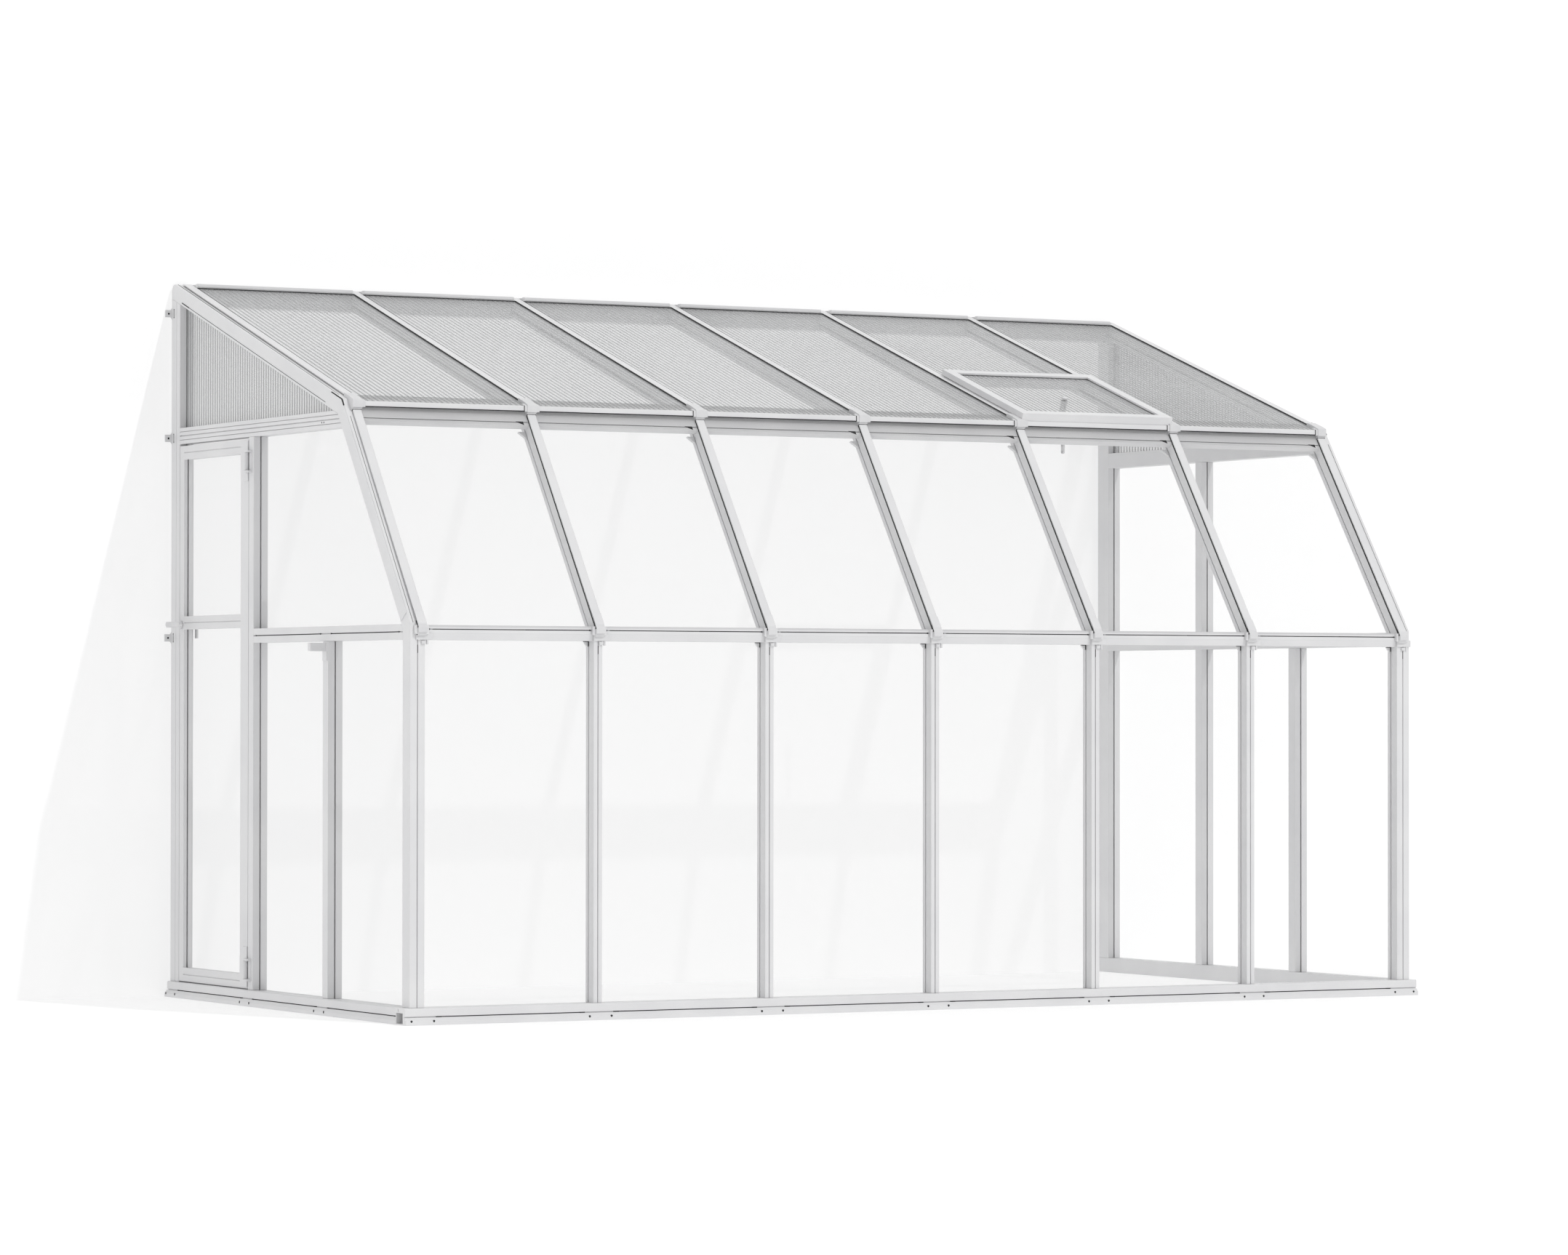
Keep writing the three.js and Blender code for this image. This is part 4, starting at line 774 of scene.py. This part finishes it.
# A twin-wall sheet: two skins a thickness apart, and a web between them at each place.
def hollowPiece(name, node, corners, inward, across, webStarts, webEnds):
    thick, skin = bent["sheetThick"], twinWall["skin"]
    far = corners + inward * (thick - skin)
    skins = together([plate(corners, inward * skin), plate(far, inward * skin)])
    middle, wide, tall = inward * thick / 2, across * twinWall["web"], inward * (thick - 2 * skin)
    rows = [(start + middle, end + middle, wide, tall) for start, end in zip(webStarts, webEnds)]
    webs = bars(rows)
    points, faces = together([skins, webs])
    piece = addMesh(name, points, faces, sheet, None)
    piece.data.materials.append(web)
    marks = np.zeros(len(faces), dtype=np.int32)
    marks[len(skins[1]):] = 1
    piece.data.polygons.foreach_set("material_index", marks)
    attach(piece, bodyOf[node])
    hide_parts(node)


# The webs' places across a sheet: equal steps, as near to the pitch as fits.
def webPlaces(low, high):
    count = max(1, round((high - low) / twinWall["webPitch"]))
    return np.linspace(low + twinWall["web"] / 2, high - twinWall["web"] / 2, count + 1)


# A roof sheet's length is where its box's front and back meet the roof's slope at its depth.
def roofSheet(node, name, depth, front=None):
    low, high = (np.array(corner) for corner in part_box(node))
    drop = -depth * roofAlong[1]
    first = (low[1] - highKnee[0] + drop) / roofAlong[0] if front is None else front
    last = (high[1] - highKnee[0] + drop - bent["sheetThick"] * roofAlong[1]) / roofAlong[0]
    outline = ((low[0], first), (high[0], first), (high[0], last), (low[0], last))
    corners = np.array([onRoof(x, distance, depth) for x, distance in outline])
    places = webPlaces(low[0], high[0])
    starts = [onRoof(x, first + twinWall["webShort"], depth) for x in places]
    stops = [onRoof(x, last - twinWall["webShort"], depth) for x in places]
    hollowPiece(name, node, corners, roofIn3, upX, starts, stops)


for number in range(1, bent["bayCount"] + 1):
    front = None if number == twinWall["ventBay"] else twinWall["roofFront"]
    roofSheet(f"roof_panel_{number}", f"roofSheet{number}", twinWall["roofDepth"], front)
roofSheet("vent_panel", "ventSheet", twinWall["ventDepth"])


# A gable sheet's top edge runs up with the roof from its lowest front corner to the back.
def gableSheet(node, name, side):
    low, high = (np.array(corner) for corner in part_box(node))
    x = low[0] if side < 0 else high[0]
    rise, topBack = math.tan(roofTilt), high[2]
    start = max(topBack - (high[1] - low[1]) * rise, low[2])
    frontY = high[1] - (topBack - start) / rise
    corners = [(x, low[1], low[2]), (x, high[1], low[2]), (x, high[1], topBack)]
    if frontY > low[1] + twinWall["pointWithin"]:
        corners += [(x, frontY, start)]
        corners[0] = (x, frontY, low[2])
    else:
        corners += [(x, low[1], start)]
    places = webPlaces(frontY, high[1])
    tops = topBack - (high[1] - places) * rise
    starts = [spot(x, y, low[2] + twinWall["webShort"]) for y in places]
    stops = [spot(x, y, z - twinWall["webShort"]) for y, z in zip(places, tops)]
    hollowPiece(name, node, np.array(corners), -side * upX, upY, starts[1:], stops[1:])


gableSheet("gable_panel_left", "gableSheetLeft", -1)
gableSheet("gable_panel_right", "gableSheetRight", 1)
print("twin-wall sheets are in")


# A profile with each corner rounded by a quadratic curve between points a radius to either side.
def rounded(points, radius, steps=3, mostOfEdge=0.45):
    points = np.asarray(points, float)
    before, after = np.roll(points, 1, axis=0), np.roll(points, -1, axis=0)
    toBefore, toAfter = before - points, after - points
    lengthBefore = np.linalg.norm(toBefore, axis=1, keepdims=True)
    lengthAfter = np.linalg.norm(toAfter, axis=1, keepdims=True)
    reach = np.minimum(radius, mostOfEdge * np.minimum(lengthBefore, lengthAfter))
    first = points + toBefore / lengthBefore * reach
    last = points + toAfter / lengthAfter * reach
    t = np.linspace(0, 1, steps + 1)[None, :, None]
    arcs = (1 - t) ** 2 * first[:, None] + 2 * t * (1 - t) * points[:, None] + t**2 * last[:, None]
    return arcs.reshape(-1, 2)


# A profile in Y and Z between two places along X.
def alongX(profile, left, right):
    profile = np.asarray(profile, float)
    flat = np.column_stack([np.zeros(len(profile)), profile])
    return carry([flat + upX * left, flat + upX * right])


# A plan in X and Y between two heights.
def upright(plan, low, high):
    plan = np.asarray(plan, float)
    flat = np.column_stack([plan, np.zeros(len(plan))])
    return carry([flat + upZ * low, flat + upZ * high])


# A point of the high knee's mitre, at a depth square to both of its faces.
def knee2(depth):
    return highKnee + (slopeIn + roofIn) / (1 + slopeIn @ roofIn) * depth


# The eave: a rail in the bend with a slit, and a drip lip that hangs off the roof sheet's end.
eave = {
    "legDown": 0.0880,
    "slitLow": 0.0735, "slitHigh": 0.0765, "slitDeep": 0.005,
    "thick": 0.022,
    "legUp": 0.055,
    "rounding": 0.0014,
    "lipInset": 0.0275, "lipGap": 0.0004, "lipStart": -0.0335, "lipEnd": -0.0390,
    "lipTop": -0.0046, "lipDrop": 0.0150, "lipTuck": 0.0005, "lipReturn": 0.006,
    "lipReturnDrop": 0.001, "lipFoot": 0.0200, "lipUnder": (0.004, -0.0004),
    "lipBackDepth": -0.0002, "lipRounding": 0.0012,
    "stripBack": 0.0060, "stripDrop": 0.0012, "stripInset": 0.001, "stripDeep": 0.0090,
    "stripTall": 0.0034,
}


# The rail follows both faces of the bend at two depths; the lip is a hook before the roof.
def eavePieces():
    slitLow, slitHigh, deep = eave["slitLow"], eave["slitHigh"], eave["slitDeep"]
    thick, legUp, legDown = eave["thick"], eave["legUp"], eave["legDown"]
    rail = [
        knee2(0.0), down2(slitLow, 0), down2(slitLow, deep), down2(slitHigh, deep),
        down2(slitHigh, 0), down2(legDown, 0), down2(legDown, thick), knee2(thick),
        roof2(legUp, thick), roof2(legUp, 0),
    ]
    top, drop = roof2(eave["lipEnd"], eave["lipTop"]), eave["lipDrop"]
    lip = [
        roof2(eave["lipStart"], eave["lipTop"]), top, top - np.array((eave["lipTuck"], drop)),
        np.array((top[0] + eave["lipReturn"], top[1] - drop - eave["lipReturnDrop"])),
        down2(eave["lipFoot"], 0.0), roof2(*eave["lipUnder"]),
        roof2(eave["lipStart"], eave["lipBackDepth"]),
    ]
    shapes = []
    for left, right in bays:
        inset = bent["halfPost"] - bent["seat"]
        shapes.append(alongX(rounded(rail, eave["rounding"]), left + inset, right - inset))
        inset = eave["lipInset"]
        low, high = left + inset + eave["lipGap"], right - inset - eave["lipGap"]
        shapes.append(alongX(rounded(lip, eave["lipRounding"]), low, high))
    return shapes


# The peg that the stay hooks over, on its plate under the eave rail.
stayPeg = {
    "aside": 0.0125,
    "plateSpan": (0.028, 0.085), "plateDepth": 0.0370, "plateThick": 0.005, "plateTall": 0.030,
    "out": 0.0025,
    "along": 0.075,
    "depth": 0.042,
    "long": 0.0104,
    "radius": 0.003,
}


def pegPieces():
    x = bayLines[twinWall["ventBay"] - 1] + bent["bayPitch"] / 2 + stayPeg["aside"]
    low, high = (onRoof(x, distance, stayPeg["plateDepth"]) for distance in stayPeg["plateSpan"])
    base = bars([(low, high, upX * stayPeg["plateThick"], roofIn3 * stayPeg["plateTall"])])
    foot = onRoof(x + stayPeg["out"], stayPeg["along"], stayPeg["depth"])
    return [base, discs([(foot, -upX * stayPeg["long"], stayPeg["radius"])])]


# The black strip in the lip's open underside: painted shadow under the overhang.
def lipShadowStrips():
    lower = np.array((-eave["stripBack"], eave["lipDrop"] + eave["stripDrop"]))
    at = roof2(eave["lipEnd"], eave["lipTop"]) - lower
    size = upY * eave["stripDeep"], upZ * eave["stripTall"]
    inset = eave["lipInset"]
    return bars([(spot(left + inset + eave["stripInset"], *at), spot(right - inset, *at), *size)
                 for left, right in bays])


fitPiece("lipShadowStrips", [lipShadowStrips()], black)
eavePiece = fitPiece("eaveRailFull", eavePieces() + pegPieces(), white)
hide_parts("eave_rail")

# Upper knuckles: a rounded block over the bend with a wing on each side, a collar below, and a
# black ring of painted shadow under the collar. Their profiles are pairs of a distance up the roof,
# or down the bar, and a depth.
knuckle = {
    "half": 0.0172,
    "blockBack": 0.034, "blockTop": ((0.034, -0.0118), (-0.010, -0.0122), (-0.0405, -0.0105)),
    "blockDrop": 0.0260, "blockFoot": 0.0440, "blockFootDepth": -0.0120, "blockInner": 0.004,
    "blockRounding": 0.0035,
    "wingHalf": 0.0272, "wingBack": (-0.020, -0.0075), "wingOut": 0.001, "wingUp": 0.0012,
    "wingDrop": 0.0205, "wingFoot": (0.0250, -0.001), "wingUnder": (-0.006, -0.001),
    "wingRounding": 0.0022,
    "collarDepth": -0.0128, "collarTall": 0.00455, "collarInset": 0.0006,
    "collarRounding": 0.0010,
    "ringDown": 0.0480, "ringTall": 0.0022, "ringExtra": 0.0012, "ringDepth": -0.0050,
    "ringDeep": 0.0084,
    "sideOut": 0.0006, "sideDepth": -0.0062, "sideDrop": 0.0200, "sideWide": 0.0016,
    "sideDeep": 0.0040,
}


def upperKnuckle(x):
    top = [roof2(*pair) for pair in knuckle["blockTop"]]
    foot, low = knuckle["blockFoot"], knuckle["blockFoot"] + knuckle["collarTall"]
    block = top + [
        top[-1] - np.array((0.0, knuckle["blockDrop"])), down2(foot, knuckle["blockFootDepth"]),
        down2(foot, 0.0), knee2(knuckle["blockInner"]), roof2(knuckle["blockBack"], 0.0),
    ]
    wingTop = roof2(eave["lipEnd"] - knuckle["wingOut"], eave["lipTop"] - knuckle["wingUp"])
    wing = [
        roof2(*knuckle["wingBack"]), wingTop, wingTop - np.array((0.0, knuckle["wingDrop"])),
        down2(*knuckle["wingFoot"]), roof2(*knuckle["wingUnder"]),
    ]
    deep = knuckle["collarDepth"]
    collar = [down2(foot, deep), down2(low, deep), down2(low, 0.0), down2(foot, 0.0)]
    left, right, inset = x - knuckle["half"], x + knuckle["half"], knuckle["collarInset"]
    shapes = [alongX(rounded(block, knuckle["blockRounding"], steps=4), left, right)]
    shapes.append(alongX(rounded(collar, knuckle["collarRounding"]), left + inset, right - inset))
    half, reach = knuckle["half"], knuckle["wingHalf"]
    for low, high in ((-reach, -half), (half, reach)):
        if bayLines[0] < x + (low + high) / 2 < bayLines[-1]:
            soft = rounded(wing, knuckle["wingRounding"], steps=4)
            shapes.append(alongX(soft, x + low, x + high))
    return shapes


# The black ring of painted shadow under each collar, and a black line of painted shade just left of
# each left wing, at the lip's end.
def knuckleShadeLines():
    rows = []
    for x in bayLines:
        low, depth = slopeLength - knuckle["ringDown"], knuckle["ringDepth"]
        wide = upX * (2 * bent["halfPost"] + knuckle["ringExtra"])
        at, end = onSlope(x, low, depth), onSlope(x, low - knuckle["ringTall"], depth)
        rows.append((at, end, wide, slopeIn3 * knuckle["ringDeep"]))
        if x == bayLines[0]:
            continue
        left = x - knuckle["wingHalf"] - knuckle["sideOut"]
        top = onRoof(left, eave["lipEnd"], knuckle["sideDepth"])
        size = upX * knuckle["sideWide"], upY * knuckle["sideDeep"]
        rows.append((top, top - upZ * knuckle["sideDrop"], *size))
    return bars(rows)


fitPiece("upperKnuckles", [shape for x in bayLines for shape in upperKnuckle(x)], fitting)
fitPiece("knuckleShadeLines", [knuckleShadeLines()], black)
print("eave and upper knuckles are in")

# The mid rail: a slit near its top, a pale strip below it, and a face that leans in below that.
midRail = {
    "bottom": 1.2070,
    "lean": 1.2290, "leanIn": 0.0060, "leanBend": 0.0010,
    "slitLow": 1.2395, "slitHigh": 1.2425, "slitDeep": 0.005,
    "top": 1.2540,
    "back": 0.0510,
    "rounding": 0.0012,
}


def midRailPieces():
    low, high, deep = midRail["slitLow"], midRail["slitHigh"], midRail["slitDeep"]
    bend, lean, back = midRail["leanBend"], midRail["lean"], midRail["back"]
    bottom, top = midRail["bottom"], midRail["top"]
    profile = [
        (midRail["leanIn"], bottom), (bend, lean - bend), (0.0, lean), (0.0, low), (deep, low),
        (deep, high), (0.0, high), (0.0, top), (back, top), (back, bottom),
    ]
    inset = bent["halfPost"] - bent["seat"]
    return [alongX(rounded(profile, midRail["rounding"]), left + inset, right - inset)
            for left, right in bays]


# Corner gussets under a rail: right-angled wedges on both sides of each post, with a black line
# of painted shadow along two edges of the one on a post's left.
gusset = {
    "thick": 0.008,
    "back": 0.036,
    "tip": 0.004,
    "midLeg": 0.020,
    "eaveLeg": 0.026,
    "lap": 0.001,
    "lineProud": 0.0012, "lineThick": 0.001, "lineTall": 0.0028, "lineWide": 0.003,
    "lineLeg": 0.85,
    "notchFar": 0.046, "notchNear": 0.019, "notchProud": 0.0008,
}


def gussetWedges(corner, along, inward, leg):
    wedges = []
    for left, right in bays:
        for x, turn in ((left + bent["halfPost"], 1), (right - bent["halfPost"], -1)):
            at, end = spot(x, *corner), along * leg
            outline = [at, at + turn * upX * leg, at + turn * upX * gusset["tip"] + end, at + end]
            wedges.append(plate(outline, inward * gusset["thick"]))
    return wedges


def gussetShadowLines(corner, along, inward, leg):
    lines = []
    wide, tall, reach = gusset["lineWide"], gusset["lineTall"], leg * gusset["lineLeg"]
    for x in bayLines[1:] - bent["halfPost"]:
        face = spot(x, *corner) - inward * gusset["lineProud"]
        steps = (0, 0), (leg, 0), (leg, tall), (wide, wide), (wide, reach), (0, reach)
        outline = [face - upX * left + along * down for left, down in steps]
        lines.append(plate(outline, inward * gusset["lineThick"]))
    return lines


# The eave's black notch of painted shade on a rib's left is a right-angled triangle between its
# slit and its foot.
def eaveNotchShade():
    high, low = slopeLength - eave["slitLow"], slopeLength - eave["legDown"] + gusset["lap"]
    notches = []
    for x in bayLines[1:] - bent["halfPost"]:
        far, near = x - gusset["notchFar"], x - gusset["notchNear"]
        pairs = (far, high), (near, high), (near, low)
        outline = [onSlope(at, up, -gusset["notchProud"]) for at, up in pairs]
        notches.append(plate(outline, slopeIn3 * gusset["lineThick"]))
    return notches


midCorner = (gusset["back"], midRail["bottom"] + gusset["lap"])
eaveCorner = down2(eave["legDown"] - gusset["lap"], gusset["back"])
midWedges = gussetWedges(midCorner, -upZ, upY, gusset["midLeg"])
midShadowLines = gussetShadowLines(midCorner, -upZ, upY, gusset["midLeg"])
railPiece = fitPiece("midRailFull", midRailPieces() + midWedges, white)
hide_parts("front_mid_rail")
fitPiece("eaveGussets", gussetWedges(eaveCorner, -slopeAlong3, slopeIn3, gusset["eaveLeg"]), white)
fitPiece("gussetShadowGaps", midShadowLines + eaveNotchShade(), black)

# Lower knuckles: a plate across the rail's lower half, the foot that the cap ends in, a small tab
# and an ear. The foot's black line of painted shadow runs down its left side, with a small mark of
# painted shade below its end.
toe = {
    "plateLow": 1.2075, "plateHigh": 1.2290, "plateLeft": 0.0170, "plateRight": 0.0400,
    "plateFront": -0.0045, "plateBack": 0.002, "plateRounding": 0.0015,
    "footHalf": 0.0155, "footTop": (0.004, -0.0090), "footFront": -0.0212, "footLow": 1.2275,
    "footFrontUp": 0.004, "footBackDown": 0.002, "footBack": (0.001, 1.2600),
    "footRounding": 0.0016,
    "tabX": (0.0015, 0.0165), "tabY": (0.001, -0.0065), "tabZ": (1.1950, 1.2050),
    "tabRounding": 0.0020,
    "earX": (0.0195, 0.0260), "earY": (0.004, -0.0035), "earZ": (1.1930, 1.2085),
    "earRounding": 0.0015,
    "lineProud": 0.0002, "lineSpan": (0.004, -0.022), "lineDepth": -0.0040, "lineThick": 0.0010,
    "lineWide": 0.0060,
    "markX": (0.004, 0.001), "markY": -0.0006, "markDeep": 0.0012, "markTall": 0.0045,
}


def lowerKnuckle(x):
    left, right = x - toe["plateLeft"], x + toe["plateRight"]
    front, back = toe["plateFront"], toe["plateBack"]
    across = [(left, front), (right, front), (right, back), (left, back)]
    top = slope2(*toe["footTop"])
    reach = (top[0] - toe["footFront"]) / slopeAlong[0]
    foot = [
        top, top - slopeAlong * reach,
        (toe["footFront"], toe["footLow"] + toe["footFrontUp"]),
        (0.0, toe["footLow"] - toe["footBackDown"]), toe["footBack"],
    ]
    half = toe["footHalf"]
    shapes = [
        upright(rounded(across, toe["plateRounding"]), toe["plateLow"], toe["plateHigh"]),
        alongX(rounded(foot, toe["footRounding"], steps=4), x - half, x + half),
    ]
    for key in ("tab", "ear"):
        (left, right), (back, front) = toe[key + "X"], toe[key + "Y"]
        plan = [(x + left, back), (x + left, front), (x + right, front), (x + right, back)]
        shapes.append(upright(rounded(plan, toe[key + "Rounding"]), *toe[key + "Z"]))
    return shapes


def footShadowLines():
    rows = []
    lineSize = upX * toe["lineThick"], slopeIn3 * toe["lineWide"]
    markSize = upY * toe["markDeep"], upZ * toe["markTall"]
    for x in bayLines:
        left = x - toe["footHalf"] - toe["lineProud"]
        start, end = (onSlope(left, up, toe["lineDepth"]) for up in toe["lineSpan"])
        rows.append((start, end, *lineSize))
        start, end = (spot(left - out, toe["markY"], toe["footLow"]) for out in toe["markX"])
        rows.append((start, end, *markSize))
    return bars(rows)


fitPiece("lowerKnuckles", [shape for x in bayLines for shape in lowerKnuckle(x)], fitting)
fitPiece("footShadowLines", [footShadowLines()], black)
print("mid rail, gussets and lower knuckles are in")

# Foam closure under the ridge lip: a black strip whose lower edge waves with the sheet's webs,
# forward by the size of a sine with one half turn a web.
foam = {
    "inset": 0.001,
    "beforeWall": 0.020,
    "top": -0.0074,
    "foot": -0.0044,
    "topOn": 0.0005,
    "footBack": 0.0015,
    "deep": 0.006,
    "wave": 0.0026,
    "samples": 7,
}


def ridgeFoam():
    shapes = []
    lip = roofTo(bent["wallPostFront"], foam["beforeWall"])
    for left, right in bays:
        low = left + bent["halfPost"] + foam["inset"]
        high = right - bent["halfPost"] - foam["inset"]
        webs = len(webPlaces(low, high)) - 1
        x = np.linspace(low, high, webs * foam["samples"] + 1)
        forward = foam["wave"] * np.abs(np.sin((x - low) / (high - low) * webs * math.pi))
        top = np.array([onRoof(0, lip + foam["topOn"], foam["top"])] * len(x))
        foot = np.array([onRoof(0, lip - foam["footBack"], foam["foot"])] * len(x))
        back = np.array([onRoof(0, lip + foam["deep"], foam["foot"])] * len(x))
        rings = np.stack([top, foot - forward[:, None] * roofAlong3, back], axis=1)
        rings[:, :, 0] = x[:, None]
        shapes.append(carry(rings))
    return shapes


# The ridge's lip over the sheets: a rounded bar in each bay.
ridgeLip = {
    "front": 1.8395,
    "back": 1.8600,
    "low": 2.4378,
    "top": 2.4498,
    "inset": 0.0215,
    "rounding": 0.0022,
}


def ridgeLips():
    front, back, low, top = (ridgeLip[key] for key in ("front", "back", "low", "top"))
    square = [(front, low), (front, top), (back, top), (back, low)]
    profile, inset = rounded(square, ridgeLip["rounding"], steps=4), ridgeLip["inset"]
    return [alongX(profile, left + inset, right - inset) for left, right in bays]


fitPiece("ridgeFoam", ridgeFoam(), black)
fitPiece("ridgeLips", ridgeLips(), white)

# Elbow covers on the two end ribs: a plate over the bend with a round shoulder on the rafter, its
# points in pairs of distance up the roof and depth, and a black line of painted shadow that follows
# its edge.
elbow = {
    "thick": 0.0030,
    "proud": 0.001,
    "down": 0.850,
    "back": 0.050,
    "edge": 0.0025,
    "shoulder": ((0.118, 0.046), (0.117, 0.036), (0.111, 0.023), (0.099, 0.010), (0.085, 0.0025)),
    "smoothUpTo": 20,
    "gapWide": 0.0026, "gapThick": 0.0042, "gapOut": 0.0010, "gapDepth": 0.0012,
    "gapUp": (0.0, 0.085), "gapDown": (0.026, 0.001),
}


def elbowCover(side):
    edge, back, down = elbow["edge"], elbow["back"], elbow["down"]
    arc = [roof2(distance, depth) for distance, depth in elbow["shoulder"]]
    outline = np.array([down2(down, back), knee2(back)] + arc + [knee2(edge), down2(down, edge)])
    face = side * (bayLines[-1] + bent["endReach"])
    flat = np.column_stack([np.full(len(outline), face - side * elbow["proud"]), outline])
    return plate(flat, side * upX * (elbow["thick"] + elbow["proud"]))


def elbowShadowGap(side):
    x, depth = side * (bayLines[-1] + bent["endReach"]) + side * elbow["gapOut"], elbow["gapDepth"]
    up = [onRoof(x, distance, depth) for distance in elbow["gapUp"]]
    down = [onSlope(x, slopeLength - distance, depth) for distance in elbow["gapDown"]]
    wide, thick = elbow["gapWide"], upX * elbow["gapThick"]
    return bars([(*up, thick, roofIn3 * wide), (*down, thick, slopeIn3 * wide)])


for side, name in ((-1, "Left"), (1, "Right")):
    fitPiece("elbowCover" + name, [elbowCover(side)], white, elbow["smoothUpTo"])
    fitPiece("elbowShadowGap" + name, [elbowShadowGap(side)], black, elbow["smoothUpTo"])
print("ridge foam and elbow covers are in")
